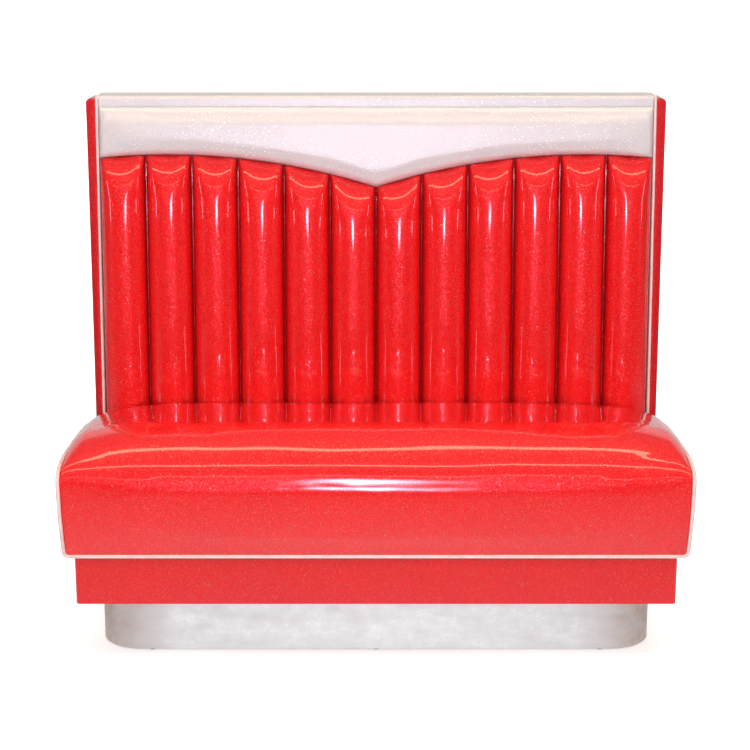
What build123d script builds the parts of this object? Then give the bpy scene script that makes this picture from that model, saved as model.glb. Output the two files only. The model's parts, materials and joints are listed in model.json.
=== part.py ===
from build123d import *

import os
from math import atan2, cos, pi, radians, sin, sqrt, tan

os.makedirs("parts", exist_ok=True)

# A free-standing restaurant booth for two: a boxed base on a recessed metal kick, a padded seat
# that lifts off it, and a reclined back with twelve sewn channels under a V-shaped headrest.
# Millimetres. The front faces -Y, +Z is up, and the floor is at Z = 0 under the middle.

# Overall size
overall_width = 1219.0
overall_depth = 635.0
overall_height = 1067.0
front_y = -overall_depth / 2
rear_y = overall_depth / 2

# Stock and clearances
plywood = 18.0
vinyl = 1.5
fit_gap = 0.3
hole_gap = 0.3
overrun = 5.0

# Kick: a bent metal sheet round a plywood frame, on nail-on glides
kick_height = 127.0
kick_side_setback = 53.5
kick_setback = 118.0
kick_rear_setback = 25.0
kick_corner_radius = 86.0
kick_sheet_thickness = 1.2
kick_sheet_lift = 3.0
kick_rib_count = 2
glide_height = 5.0
glide_diameter = 16.0
glide_chamfer = 1.5
glide_corner_inset = 20.0
kick_screw_head = 9.0
kick_screw_head_height = 2.4
kick_screw_shank = 3.5
kick_screw_length = 14.0
kick_screw_inset = 16.0
kick_screw_spacing = 45.0

# Base box that shows as the apron under the seat
base_setback = 46.0
base_height = 100.0
base_corner_radius = 8.0
bearer_thickness = 18.0

# Back: two padded end boards, the wings, and what stands between them
wing_side_setback = 5.0
wing_board_thickness = 16.0
back_depth = 136.0
seat_line_height = 420.0
recline = 4.77
wing_corner_radius = 6.0
wing_shoulder_radius = 9.5
back_piping_diameter = 6.0
pad_recess = 8.0
back_board_thickness = 9.0
back_rib_count = 3
rear_board_thickness = 4.0
back_rail_height = 60.0
back_rail_centre_height = 600.0
cap_height = 23.0
cap_reach = 6.0
cap_front_radius = 9.0
cap_crown = 2.0

# Channels of the back
channel_count = 12
channel_bottom_rise = 35.0
channel_valley = 2.0
channel_reach = 32.0
channel_height_shares = (0.0, 0.22, 0.4, 0.7, 1.0)
channel_reach_shares = (0.8, 1.0, 1.0, 0.88, 0.76)
channel_top_forward_shares = (0.06, 0.3, 0.52, 0.68, 1.2)
channel_top_drop_shares = (0.01, 0.16, 0.42, 0.72, 1.85)
channel_top_drop = 80.0

# The V between the headrest and the channels
v_apex_depth = 191.0
v_crest_depth = 123.0
v_crest_inset = 143.4
headrest_seam = 7.0
headrest_reach = 25.0
headrest_width_shares = (0.0, 0.35, 0.7, 0.93, 1.0)
headrest_reach_shares = (1.0, 1.0, 0.95, 0.7, 0.4)

# Seat: its outline from the side, and how the crown rises from the sides to the middle
piping_diameter = 8.0
seat_nest = 5.0
foot_setback = 41.7
foot_lean = 21.8
foot_run = 25.0
side_nose_radius = 25.0
side_nose_rise = 156.5
side_nose_slope = 12.0
side_crown_radius = 350.0
side_rake = 2.0
side_rear_rise = 162.0
middle_nose_radius = 62.0
middle_nose_rise = 148.0
middle_nose_slope = 40.0
middle_crown_radius = 170.0
middle_rake = 6.5
middle_rear_rise = 195.5
crown_strips = 9
crown_squareness = 8
piping_corner_radius = 8.0

# Seat frame
seat_padding = 9.0
seat_side_padding = 12.0
rail_thickness = 25.0
rail_height = 62.0
cross_rail_height = 45.0
cross_rail_count = 2
web_width = 50.0
web_thickness = 2.0
long_web_count = 9
long_web_margin = 110.0
cross_web_count = 3
cross_web_margin = 90.0
cover_hem = 20.0
dust_cloth = 0.8
cleat_thickness = 15.0
cleat_length = 70.0
cleat_rise = 52.0
cleat_drop = 18.0
cleat_inset = 60.0

# Bolts that join the wings to the base box
bolt_diameter = 8.0
bolt_head_width = 13.0
bolt_head_height = 5.3
washer_diameter = 20.0
washer_thickness = 1.6
bolt_rear_insets = (45.0, 105.0)

# Sizes that follow from these
lean = radians(recline)
piping_radius = piping_diameter / 2
back_piping_radius = back_piping_diameter / 2
kick_front = front_y + kick_setback
kick_rear = rear_y - kick_rear_setback
kick_half = overall_width / 2 - kick_side_setback
kick_frame_front = kick_front + kick_sheet_thickness
kick_frame_half = kick_half - kick_sheet_thickness
kick_corner_y = kick_front + kick_corner_radius
kick_corner_x = kick_half - kick_corner_radius
kick_span = (glide_height, kick_height)

wing_outer = overall_width / 2 - wing_side_setback
wing_inner = wing_outer - vinyl - wing_board_thickness
wing_top = overall_height - back_piping_diameter - fit_gap
rear_panel_y = rear_y - vinyl - rear_board_thickness

base_front = front_y + base_setback
base_board_front = base_front + vinyl
base_board_half = wing_inner - vinyl
base_inner_half = base_board_half - plywood
base_deck_top = kick_height + plywood
base_top = kick_height + base_height
base_span = (base_deck_top, base_top)
bolt_height = (base_deck_top + base_top) / 2

cap_bottom = overall_height - cap_height
top_rail_bottom = cap_bottom - plywood

panel_half = wing_inner - back_piping_radius - 2 * fit_gap
channel_pitch = 2 * panel_half / channel_count
channel_bottom = base_top + channel_bottom_rise
v_apex_height = overall_height - v_apex_depth
v_crest_height = overall_height - v_crest_depth
v_crest_reach = panel_half - v_crest_inset

side_reach = (piping_radius + fit_gap) * sqrt(2) - seat_nest
seat_half = overall_width / 2 - piping_radius - side_reach
nest_half = seat_half - seat_nest
seat_bottom = base_top
frame_bottom = seat_bottom + vinyl
side_rail_top = frame_bottom + rail_height
end_rail_top = side_rail_top + web_thickness
web_top = end_rail_top + web_thickness


def wing_y(height):
    """Where the front edge of the wings stands at a height."""
    return rear_y - back_depth + (height - seat_line_height) * tan(lean)


def behind_wing(height, distance):
    """A place square behind the wings' front edge, at a height."""
    return wing_y(height) + distance / cos(lean)


def across_slope(height):
    """A plane square to the reclined back, at a height; its own y runs backwards."""
    return Plane(origin=(0, wing_y(height), height), x_dir=(1, 0, 0), z_dir=(0, sin(lean), cos(lean)))


def along_slope(forward):
    """A plane that leans with the back, a distance in front of the wings; its y runs up the slope."""
    origin = (
        0,
        wing_y(seat_line_height) - forward * cos(lean),
        seat_line_height + forward * sin(lean),
    )
    return Plane(origin=origin, x_dir=(1, 0, 0), z_dir=(0, -cos(lean), sin(lean)))


def up_slope(height):
    """A height as a distance up the slope from the seat line."""
    return (height - seat_line_height) / cos(lean)


def v_height(x):
    """Height of the V seam: one arc each side of the middle, over a crest and down to the wings."""
    rise = v_crest_height - v_apex_height
    radius = (v_crest_reach**2 + rise**2) / (2 * rise)
    return v_crest_height - radius + sqrt(radius**2 - (abs(x) - v_crest_reach) ** 2)


def evenly(start, end, count):
    """Places from a start to an end, both included, all the same distance apart."""
    return [start + (end - start) * number / (count - 1) for number in range(count)]


def bays(half, count):
    """Places that divide a width, known by its half, into equal bays."""
    return evenly(-half, half, count + 2)[1:-1]


def block(x_span, y_span, z_span, mode=Mode.ADD):
    """A square-edged board that fills three spans."""
    with Locations((x_span[0], y_span[0], z_span[0])):
        Box(
            x_span[1] - x_span[0],
            y_span[1] - y_span[0],
            z_span[1] - z_span[0],
            align=(Align.MIN, Align.MIN, Align.MIN),
            mode=mode,
        )


# Kick

kick_screw_places = [
    (kick_rear - kick_screw_inset, kick_height / 2 + row * kick_screw_spacing) for row in (-1, 0, 1)
]


def front_rounded(half, front, rear, radius, height):
    """A rectangle seen from above, with its two front corners rounded."""
    with BuildSketch(Plane.XY.offset(height)) as outline:
        with Locations((0, front)):
            Rectangle(2 * half, rear - front, align=(Align.CENTER, Align.MIN))
        fillet(outline.vertices().group_by(Axis.Y)[0], radius)
    return outline.sketch


def kick_outline(inset, rear, height):
    """The kick seen from above, drawn in by an inset, as far back as a rear line."""
    return front_rounded(kick_half - inset, kick_front + inset, rear, kick_corner_radius - inset, height)


def cut_screw_holes():
    """Holes for the screws of the kick's sheet, right across the kick."""
    with Locations(*[(0, y, z) for y, z in kick_screw_places]):
        Cylinder(
            kick_screw_shank / 2 + hole_gap,
            overall_width,
            rotation=(0, 90, 0),
            mode=Mode.SUBTRACT,
        )


with BuildPart() as kick_sheet:
    extrude(
        kick_outline(0, kick_rear, kick_sheet_lift),
        amount=kick_height - fit_gap - kick_sheet_lift,
    )
    extrude(
        kick_outline(kick_sheet_thickness, kick_rear + overrun, 0),
        amount=kick_height,
        mode=Mode.SUBTRACT,
    )
    cut_screw_holes()
kick_sheet.part.label = "kick_sheet"
export_step(kick_sheet.part, "parts/kick_sheet.step")

with BuildPart() as kick_front_board:
    block(
        (-kick_corner_x, kick_corner_x),
        (kick_frame_front, kick_frame_front + plywood),
        kick_span,
    )
kick_front_board.part.label = "kick_front_board"
export_step(kick_front_board.part, "parts/kick_front_board.step")

with BuildPart() as kick_rear_board:
    block(
        (plywood - kick_frame_half, kick_frame_half - plywood),
        (kick_rear - plywood, kick_rear),
        kick_span,
    )
kick_rear_board.part.label = "kick_rear_board"
export_step(kick_rear_board.part, "parts/kick_rear_board.step")

with BuildPart() as kick_left_board:
    block(
        (-kick_frame_half, plywood - kick_frame_half),
        (kick_corner_y, kick_rear),
        kick_span,
    )
    cut_screw_holes()
kick_left_board.part.label = "kick_left_board"
export_step(kick_left_board.part, "parts/kick_left_board.step")

with BuildPart() as kick_right_board:
    mirror(kick_left_board.part, about=Plane.YZ)
kick_right_board.part.label = "kick_right_board"
export_step(kick_right_board.part, "parts/kick_right_board.step")

with BuildPart() as kick_corner_blocks:
    extrude(
        kick_outline(kick_sheet_thickness, kick_corner_y + overrun, glide_height),
        amount=kick_height - glide_height,
    )
    extrude(
        kick_outline(kick_sheet_thickness + plywood, kick_corner_y + 2 * overrun, 0),
        amount=kick_height + overrun,
        mode=Mode.SUBTRACT,
    )
    block(
        (-kick_half, kick_half),
        (kick_corner_y, kick_corner_y + 2 * overrun),
        (0, kick_height + overrun),
        mode=Mode.SUBTRACT,
    )
    block(
        (-kick_corner_x, kick_corner_x),
        (kick_front, kick_frame_front + plywood + overrun),
        (0, kick_height + overrun),
        mode=Mode.SUBTRACT,
    )
kick_corner_blocks.part.label = "kick_corner_blocks"
export_step(kick_corner_blocks.part, "parts/kick_corner_blocks.step")

with BuildPart() as kick_ribs:
    for x in bays(kick_frame_half, kick_rib_count):
        block(
            (x - plywood / 2, x + plywood / 2),
            (kick_frame_front + plywood, kick_rear - plywood),
            kick_span,
        )
kick_ribs.part.label = "kick_ribs"
export_step(kick_ribs.part, "parts/kick_ribs.step")

glide_front_y = kick_frame_front + plywood / 2
glide_rear_y = kick_rear - plywood / 2
glide_side_x = kick_frame_half - plywood / 2
glide_end_x = kick_corner_x - glide_corner_inset
glide_places = [(x, y) for x in (-glide_end_x, 0, glide_end_x) for y in (glide_front_y, glide_rear_y)]
glide_places += [(x, (kick_corner_y + kick_rear) / 2) for x in (-glide_side_x, glide_side_x)]

with BuildPart() as floor_glides:
    with Locations(*glide_places):
        Cylinder(
            glide_diameter / 2,
            glide_height,
            align=(Align.CENTER, Align.CENTER, Align.MIN),
        )
    chamfer(floor_glides.faces().group_by(Axis.Z)[0].edges(), glide_chamfer)
floor_glides.part.label = "floor_glides"
export_step(floor_glides.part, "parts/floor_glides.step")

with BuildPart() as kick_sheet_screws:
    with Locations(*[(kick_half, y, z) for y, z in kick_screw_places]):
        Cylinder(
            kick_screw_head / 2,
            kick_screw_head_height,
            rotation=(0, 90, 0),
            align=(Align.CENTER, Align.CENTER, Align.MIN),
        )
    chamfer(kick_sheet_screws.faces().group_by(Axis.X)[-1].edges(), kick_screw_head_height / 2)
    with Locations(*[(kick_half - kick_screw_length, y, z) for y, z in kick_screw_places]):
        Cylinder(
            kick_screw_shank / 2,
            kick_screw_length,
            rotation=(0, 90, 0),
            align=(Align.CENTER, Align.CENTER, Align.MIN),
        )
    mirror(about=Plane.YZ)
kick_sheet_screws.part.label = "kick_sheet_screws"
export_step(kick_sheet_screws.part, "parts/kick_sheet_screws.step")


# Base box

def base_outline(inset, rear, height):
    """The base box from above, drawn in by an inset, as far back as a rear line."""
    return front_rounded(wing_inner - inset, base_front + inset, rear, base_corner_radius - inset, height)


def cut_bolt_holes():
    """Clear holes for the bolts, right across the base box and the wings."""
    for inset in bolt_rear_insets:
        with Locations((0, rear_y - inset, bolt_height)):
            Cylinder(
                bolt_diameter / 2 + hole_gap,
                overall_width,
                rotation=(0, 90, 0),
                mode=Mode.SUBTRACT,
            )


with BuildPart() as base_deck:
    extrude(base_outline(vinyl, rear_panel_y, kick_height), amount=plywood)
base_deck.part.label = "base_deck"
export_step(base_deck.part, "parts/base_deck.step")

with BuildPart() as apron_front_board:
    extrude(
        base_outline(vinyl, base_board_front + plywood, base_deck_top),
        amount=base_top - base_deck_top,
    )
apron_front_board.part.label = "apron_front_board"
export_step(apron_front_board.part, "parts/apron_front_board.step")

with BuildPart() as apron_left_board:
    block(
        (-base_board_half, -base_inner_half),
        (base_board_front + plywood, rear_panel_y),
        base_span,
    )
    cut_bolt_holes()
apron_left_board.part.label = "apron_left_board"
export_step(apron_left_board.part, "parts/apron_left_board.step")

with BuildPart() as apron_right_board:
    mirror(apron_left_board.part, about=Plane.YZ)
apron_right_board.part.label = "apron_right_board"
export_step(apron_right_board.part, "parts/apron_right_board.step")

with BuildPart() as apron_cover:
    extrude(base_outline(0, rear_panel_y, kick_height), amount=base_top - fit_gap - kick_height)
    extrude(
        base_outline(vinyl, rear_panel_y + overrun, kick_height - overrun),
        amount=base_top + overrun,
        mode=Mode.SUBTRACT,
    )
    cut_bolt_holes()
apron_cover.part.label = "apron_cover"
export_step(apron_cover.part, "parts/apron_cover.step")

frame_front = front_y + foot_setback + vinyl + seat_padding
frame_rear = behind_wing(seat_bottom, -channel_reach - 2 * fit_gap) - vinyl - seat_padding
frame_half = seat_half - seat_side_padding - vinyl

with BuildPart() as rear_bearer:
    block(
        (-base_inner_half, base_inner_half),
        (frame_rear - rail_thickness, frame_rear - rail_thickness + bearer_thickness),
        base_span,
    )
rear_bearer.part.label = "rear_bearer"
export_step(rear_bearer.part, "parts/rear_bearer.step")

with BuildPart() as middle_bearer:
    block(
        (-bearer_thickness / 2, bearer_thickness / 2),
        (base_board_front + plywood, frame_rear - rail_thickness),
        base_span,
    )
middle_bearer.part.label = "middle_bearer"
export_step(middle_bearer.part, "parts/middle_bearer.step")


# Wings

def wing_outline(inset, radius):
    """A wing from the side: upright behind, leaning in front, round at the top."""
    top = wing_top - inset
    rear = rear_y - inset
    with BuildSketch(Plane.YZ.offset(wing_inner)) as outline:
        with BuildLine():
            Polyline(
                (behind_wing(kick_height, inset), kick_height),
                (rear, kick_height),
                (rear, top),
                (behind_wing(top, inset), top),
                close=True,
            )
        make_face()
        fillet(outline.vertices().group_by(Axis.Y)[-1], radius)
    return outline.sketch


def round_wing_shoulder(outer, top, radius):
    """Round the outer top edge of a right-hand wing, from front to rear."""
    with BuildSketch(Plane.XZ.offset(-rear_y - overrun)) as corner:
        with Locations((outer + overrun, top + overrun)):
            Rectangle(radius + overrun, radius + overrun, align=(Align.MAX, Align.MAX))
        with Locations((outer - radius, top - radius)):
            Circle(radius, mode=Mode.SUBTRACT)
    extrude(corner.sketch, amount=overall_depth, mode=Mode.SUBTRACT)


board_outer = wing_outer - vinyl
board_corner_radius = wing_corner_radius - vinyl
board_shoulder_radius = wing_shoulder_radius - vinyl

with BuildPart() as wing_right:
    extrude(wing_outline(vinyl, board_corner_radius), amount=wing_board_thickness)
    round_wing_shoulder(board_outer, wing_top - vinyl, board_shoulder_radius)
    cut_bolt_holes()
wing_right.part.label = "wing_right"
export_step(wing_right.part, "parts/wing_right.step")

with BuildPart() as wing_left:
    mirror(wing_right.part, about=Plane.YZ)
wing_left.part.label = "wing_left"
export_step(wing_left.part, "parts/wing_left.step")

with BuildPart() as wing_board_space:
    extrude(wing_outline(vinyl, board_corner_radius - fit_gap), amount=wing_board_thickness)
    round_wing_shoulder(board_outer, wing_top - vinyl, board_shoulder_radius - fit_gap)

with BuildPart() as wing_cover_right:
    extrude(wing_outline(0, wing_corner_radius), amount=wing_outer - wing_inner)
    round_wing_shoulder(wing_outer, wing_top, wing_shoulder_radius)
    add(wing_board_space.part, mode=Mode.SUBTRACT)
wing_cover_right.part.label = "wing_cover_right"
export_step(wing_cover_right.part, "parts/wing_cover_right.step")

with BuildPart() as wing_cover_left:
    mirror(wing_cover_right.part, about=Plane.YZ)
wing_cover_left.part.label = "wing_cover_left"
export_step(wing_cover_left.part, "parts/wing_cover_left.step")

piping_forward = back_piping_radius + fit_gap
piping_top = wing_top + piping_forward
piping_bottom = base_top + back_piping_diameter

with BuildPart() as back_piping_right:
    with BuildLine(Plane.YZ.offset(wing_inner)) as path:
        FilletPolyline(
            (behind_wing(piping_bottom, -piping_forward), piping_bottom),
            (behind_wing(piping_top, -piping_forward), piping_top),
            (rear_y - wing_corner_radius, piping_top),
            radius=wing_corner_radius + piping_forward,
        )
    with BuildSketch(Plane(path.line @ 0, z_dir=path.line % 0)):
        Circle(back_piping_radius)
    sweep()
back_piping_right.part.label = "back_piping_right"
export_step(back_piping_right.part, "parts/back_piping_right.step")

with BuildPart() as back_piping_left:
    mirror(back_piping_right.part, about=Plane.YZ)
back_piping_left.part.label = "back_piping_left"
export_step(back_piping_left.part, "parts/back_piping_left.step")


# Bolts

with BuildPart() as frame_bolts:
    for inset in bolt_rear_insets:
        with BuildSketch(Plane.YZ.offset(base_inner_half)):
            with Locations((rear_y - inset, bolt_height)):
                Circle(bolt_diameter / 2)
        extrude(amount=board_outer - base_inner_half)
        with BuildSketch(Plane.YZ.offset(base_inner_half - washer_thickness)):
            with Locations((rear_y - inset, bolt_height)):
                Circle(washer_diameter / 2)
        extrude(amount=washer_thickness)
        with BuildSketch(Plane.YZ.offset(base_inner_half - washer_thickness - bolt_head_height)):
            with Locations((rear_y - inset, bolt_height)):
                RegularPolygon(bolt_head_width / 2, 6, major_radius=False)
        extrude(amount=bolt_head_height)
    mirror(about=Plane.YZ)
frame_bolts.part.label = "frame_bolts"
export_step(frame_bolts.part, "parts/frame_bolts.step")


# Frame of the back

with BuildPart() as back_board:
    with BuildSketch(Plane.YZ.offset(-wing_inner)):
        with BuildLine():
            Polyline(
                (behind_wing(base_deck_top, pad_recess), base_deck_top),
                (behind_wing(base_deck_top, pad_recess + back_board_thickness), base_deck_top),
                (behind_wing(cap_bottom, pad_recess + back_board_thickness), cap_bottom),
                (behind_wing(cap_bottom, pad_recess), cap_bottom),
                close=True,
            )
        make_face()
    extrude(amount=2 * wing_inner)
    block(
        (base_inner_half, wing_inner),
        (front_y, rear_y),
        (0, base_top),
        mode=Mode.SUBTRACT,
    )
    block(
        (-wing_inner, -base_inner_half),
        (front_y, rear_y),
        (0, base_top),
        mode=Mode.SUBTRACT,
    )
back_board.part.label = "back_board"
export_step(back_board.part, "parts/back_board.step")

rib_forward = pad_recess + back_board_thickness

with BuildPart() as back_ribs:
    for x in bays(wing_inner, back_rib_count):
        with BuildSketch(Plane.YZ.offset(x - plywood / 2)):
            with BuildLine():
                Polyline(
                    (behind_wing(base_deck_top, rib_forward), base_deck_top),
                    (rear_panel_y, base_deck_top),
                    (rear_panel_y, top_rail_bottom),
                    (behind_wing(top_rail_bottom, rib_forward), top_rail_bottom),
                    close=True,
                )
            make_face()
        extrude(amount=plywood)
    block(
        (-wing_inner, wing_inner),
        (rear_panel_y - plywood, rear_panel_y),
        (back_rail_centre_height - back_rail_height / 2, back_rail_centre_height + back_rail_height / 2),
        mode=Mode.SUBTRACT,
    )
back_ribs.part.label = "back_ribs"
export_step(back_ribs.part, "parts/back_ribs.step")

with BuildPart() as back_rail:
    block(
        (-wing_inner, wing_inner),
        (rear_panel_y - plywood, rear_panel_y),
        (back_rail_centre_height - back_rail_height / 2, back_rail_centre_height + back_rail_height / 2),
    )
back_rail.part.label = "back_rail"
export_step(back_rail.part, "parts/back_rail.step")

with BuildPart() as top_rail:
    with BuildSketch(Plane.YZ.offset(-wing_inner)):
        with BuildLine():
            Polyline(
                (behind_wing(top_rail_bottom, rib_forward), top_rail_bottom),
                (rear_panel_y, top_rail_bottom),
                (rear_panel_y, cap_bottom),
                (behind_wing(cap_bottom, rib_forward), cap_bottom),
                close=True,
            )
        make_face()
    extrude(amount=2 * wing_inner)
top_rail.part.label = "top_rail"
export_step(top_rail.part, "parts/top_rail.step")

with BuildPart() as rear_panel_board:
    block(
        (-wing_inner, wing_inner),
        (rear_panel_y, rear_panel_y + rear_board_thickness),
        (kick_height, cap_bottom),
    )
rear_panel_board.part.label = "rear_panel_board"
export_step(rear_panel_board.part, "parts/rear_panel_board.step")

with BuildPart() as rear_panel_cover:
    block((-wing_inner, wing_inner), (rear_y - vinyl, rear_y), (kick_height, cap_bottom))
rear_panel_cover.part.label = "rear_panel_cover"
export_step(rear_panel_cover.part, "parts/rear_panel_cover.step")


# Channelled back

def channel_slice(height, reach):
    """The twelve channels cut square to the slope, as one face with an arc for each channel."""
    starts = [-panel_half + number * channel_pitch for number in range(channel_count)]
    with BuildSketch(across_slope(height)) as section:
        with BuildLine():
            for start in starts:
                ThreePointArc(
                    (start, -channel_valley),
                    (start + channel_pitch / 2, -reach),
                    (start + channel_pitch, -channel_valley),
                )
            Line((panel_half, -channel_valley), (panel_half, pad_recess))
            Line((panel_half, pad_recess), (-panel_half, pad_recess))
            Line((-panel_half, pad_recess), (-panel_half, -channel_valley))
        make_face()
    return section.sketch


def above_v(forward, drop):
    """All that lies above the V seam, lowered by a drop, on a plane that leans with the back."""
    half = panel_half + overrun
    top = up_slope(overall_height)
    with BuildSketch(along_slope(forward)) as region:
        with BuildLine():
            for start, end in ((-half, 0), (0, half)):
                ThreePointArc(
                    (start, up_slope(v_height(start)) - drop),
                    ((start + end) / 2, up_slope(v_height((start + end) / 2)) - drop),
                    (end, up_slope(v_height(end)) - drop),
                )
            Line((half, up_slope(v_height(half)) - drop), (half, top))
            Line((half, top), (-half, top))
            Line((-half, top), (-half, up_slope(v_height(half)) - drop))
        make_face()
    return region.sketch


channel_rise = v_crest_height + overrun - channel_bottom

with BuildPart() as channel_back:
    loft(
        [
            channel_slice(
                channel_bottom + share * channel_rise,
                channel_reach * reach,
            )
            for share, reach in zip(channel_height_shares, channel_reach_shares)
        ]
    )
    loft(
        [above_v(-pad_recess - overrun, 0)]
        + [
            above_v(channel_reach * forward, channel_top_drop * drop)
            for forward, drop in zip(channel_top_forward_shares, channel_top_drop_shares)
        ],
        ruled=True,
        mode=Mode.SUBTRACT,
    )
channel_back.part.label = "channel_back"
export_step(channel_back.part, "parts/channel_back.step")


# Headrest and cap

def headrest_slice(x, reach):
    """The headrest cut front to back: flat behind, crowned in front between its two seams."""
    top = cap_bottom - fit_gap
    bottom = v_height(x) + 2 * fit_gap
    middle = (top + bottom) / 2
    with BuildSketch(Plane.YZ.offset(x)) as section:
        with BuildLine():
            ThreePointArc(
                (behind_wing(bottom, -headrest_seam), bottom),
                (behind_wing(middle, -reach), middle),
                (behind_wing(top, -headrest_seam), top),
            )
            Line((behind_wing(top, -headrest_seam), top), (behind_wing(top, pad_recess), top))
            Line((behind_wing(top, pad_recess), top), (behind_wing(bottom, pad_recess), bottom))
            Line(
                (behind_wing(bottom, pad_recess), bottom),
                (behind_wing(bottom, -headrest_seam), bottom),
            )
        make_face()
    return section.sketch


headrest_rise = headrest_reach - headrest_seam

with BuildPart() as headrest_pad:
    loft(
        [
            headrest_slice(panel_half * share, headrest_seam + headrest_rise * reach)
            for share, reach in zip(headrest_width_shares, headrest_reach_shares)
        ]
    )
    mirror(about=Plane.YZ)
headrest_pad.part.label = "headrest_pad"
export_step(headrest_pad.part, "parts/headrest_pad.step")

with BuildPart() as top_cap:
    with BuildSketch(Plane.YZ.offset(-panel_half)) as cap_section:
        with BuildLine():
            front = behind_wing(cap_bottom, -cap_reach)
            Line((front, cap_bottom), (front, overall_height - cap_crown))
            ThreePointArc(
                (front, overall_height - cap_crown),
                ((front + rear_y) / 2, overall_height),
                (rear_y, overall_height - cap_crown),
            )
            Line((rear_y, overall_height - cap_crown), (rear_y, cap_bottom))
            Line((rear_y, cap_bottom), (front, cap_bottom))
        make_face()
        fillet(cap_section.vertices().group_by(Axis.Z)[-1], cap_front_radius)
    extrude(amount=2 * panel_half)
top_cap.part.label = "top_cap"
export_step(top_cap.part, "parts/top_cap.step")


# Seat: its side outline is one chain of tangent lines and arcs

foot_y = front_y + foot_setback
foot_angle = radians(foot_lean)
foot_chamfer = (piping_radius + fit_gap) / cos((pi / 2 + foot_angle) / 2)
foot_top = (foot_y - foot_run * sin(foot_angle), seat_bottom + foot_run * cos(foot_angle))
nose_y = front_y + piping_radius
rear_clearance = channel_reach + 2 * fit_gap


def arc_middle(start, end, angle):
    """The middle of the arc that leaves its start at an angle and reaches its end."""
    run = end[0] - start[0]
    rise = end[1] - start[1]
    bow = tan((angle - atan2(rise, run)) / 2) / 2
    return ((start[0] + end[0]) / 2 - bow * rise, (start[1] + end[1]) / 2 + bow * run)


def crowned(side_value, middle_value, rise_share):
    """A size of the seat where it is crowned by a share, between its side and its middle."""
    return side_value + rise_share * (middle_value - side_value)


def seat_top_edges(rise_share):
    """The arcs of the front, the nose, the crown and the raked top, from the foot to the rear."""
    nose_radius = crowned(side_nose_radius, middle_nose_radius, rise_share)
    nose_start = (nose_y, seat_bottom + crowned(side_nose_rise, middle_nose_rise, rise_share))
    nose_chord_angle = atan2(foot_top[0] - nose_start[0], nose_start[1] - foot_top[1])
    nose_angle = 2 * nose_chord_angle - foot_angle
    slope = radians(crowned(side_nose_slope, middle_nose_slope, rise_share))
    crown_radius = crowned(side_crown_radius, middle_crown_radius, rise_share)
    rake = radians(crowned(side_rake, middle_rake, rise_share))
    rear_height = seat_bottom + crowned(side_rear_rise, middle_rear_rise, rise_share)
    crown_start = (
        nose_start[0] + nose_radius * (cos(nose_angle) - sin(slope)),
        nose_start[1] + nose_radius * (sin(nose_angle) + cos(slope)),
    )
    crown_end = (
        crown_start[0] + crown_radius * (sin(slope) + sin(rake)),
        crown_start[1] + crown_radius * (cos(rake) - cos(slope)),
    )
    top_end = (behind_wing(rear_height, -rear_clearance), rear_height)
    ThreePointArc(foot_top, arc_middle(foot_top, nose_start, pi / 2 + foot_angle), nose_start)
    ThreePointArc(
        nose_start, arc_middle(nose_start, crown_start, pi / 2 + nose_angle), crown_start
    )
    ThreePointArc(crown_start, arc_middle(crown_start, crown_end, slope), crown_end)
    ThreePointArc(crown_end, arc_middle(crown_end, top_end, -rake), top_end)


def seat_slice(x, rise_share, inset):
    """The seat cut front to back; the rise share sets how far it is crowned there."""
    rear_height = seat_bottom + crowned(side_rear_rise, middle_rear_rise, rise_share)
    with BuildSketch(Plane.YZ.offset(x)) as section:
        with BuildLine():
            Line(
                (foot_y + foot_chamfer, seat_bottom),
                (
                    foot_y - foot_chamfer * sin(foot_angle),
                    seat_bottom + foot_chamfer * cos(foot_angle),
                ),
            )
            Line(
                (
                    foot_y - foot_chamfer * sin(foot_angle),
                    seat_bottom + foot_chamfer * cos(foot_angle),
                ),
                foot_top,
            )
            seat_top_edges(rise_share)
            Line(
                (behind_wing(rear_height, -rear_clearance), rear_height),
                (behind_wing(seat_bottom, -rear_clearance), seat_bottom),
            )
            Line(
                (behind_wing(seat_bottom, -rear_clearance), seat_bottom),
                (foot_y + foot_chamfer, seat_bottom),
            )
        make_face()
        if inset > 0:
            offset(amount=-inset, kind=Kind.INTERSECTION)
    return section.sketch


def crown_places():
    """Shares of the half width with their shares of the crown, from the middle to the side."""
    turns = [number * pi / 2 / crown_strips for number in range(crown_strips + 1)]
    return [(sin(turn) ** (2 / crown_squareness), cos(turn)) for turn in turns]


def seat_slices(half, inset):
    """Slices of the seat from side to side, for a loft that crowns the top."""
    places = crown_places()
    slices = [seat_slice(-half * share, rise, inset) for share, rise in reversed(places)]
    return slices + [seat_slice(half * share, rise, inset) for share, rise in places[1:]]


def seat_solid(inset, mode=Mode.ADD):
    """The whole seat, drawn in by an inset, with its side edges cut back for the piping."""
    corner = (sqrt(2) - 1) * inset
    loft(seat_slices(nest_half - corner, inset), ruled=True, mode=mode)
    for side in (-1, 1):
        loft(
            [
                seat_slice(side * (nest_half - corner), 0, inset),
                seat_slice(side * (seat_half - inset), 0, seat_nest + corner),
            ],
            ruled=True,
            mode=mode,
        )


with BuildPart() as seat_cover:
    seat_solid(0)
    seat_solid(vinyl, mode=Mode.SUBTRACT)
    block(
        (cover_hem - frame_half, frame_half - cover_hem),
        (frame_front + cover_hem, frame_rear - cover_hem),
        (seat_bottom - overrun, frame_bottom + overrun),
        mode=Mode.SUBTRACT,
    )
seat_cover.part.label = "seat_cover"
export_step(seat_cover.part, "parts/seat_cover.step")

with BuildPart() as seat_foam:
    seat_solid(vinyl + fit_gap)
    block(
        (-frame_half - fit_gap, frame_half + fit_gap),
        (frame_front - fit_gap, frame_rear + fit_gap),
        (seat_bottom, web_top + fit_gap),
        mode=Mode.SUBTRACT,
    )
seat_foam.part.label = "seat_foam"
export_step(seat_foam.part, "parts/seat_foam.step")


# Piping of the seat: one run down each side edge, and one round the foot of the front

piping_x = seat_half + side_reach

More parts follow.
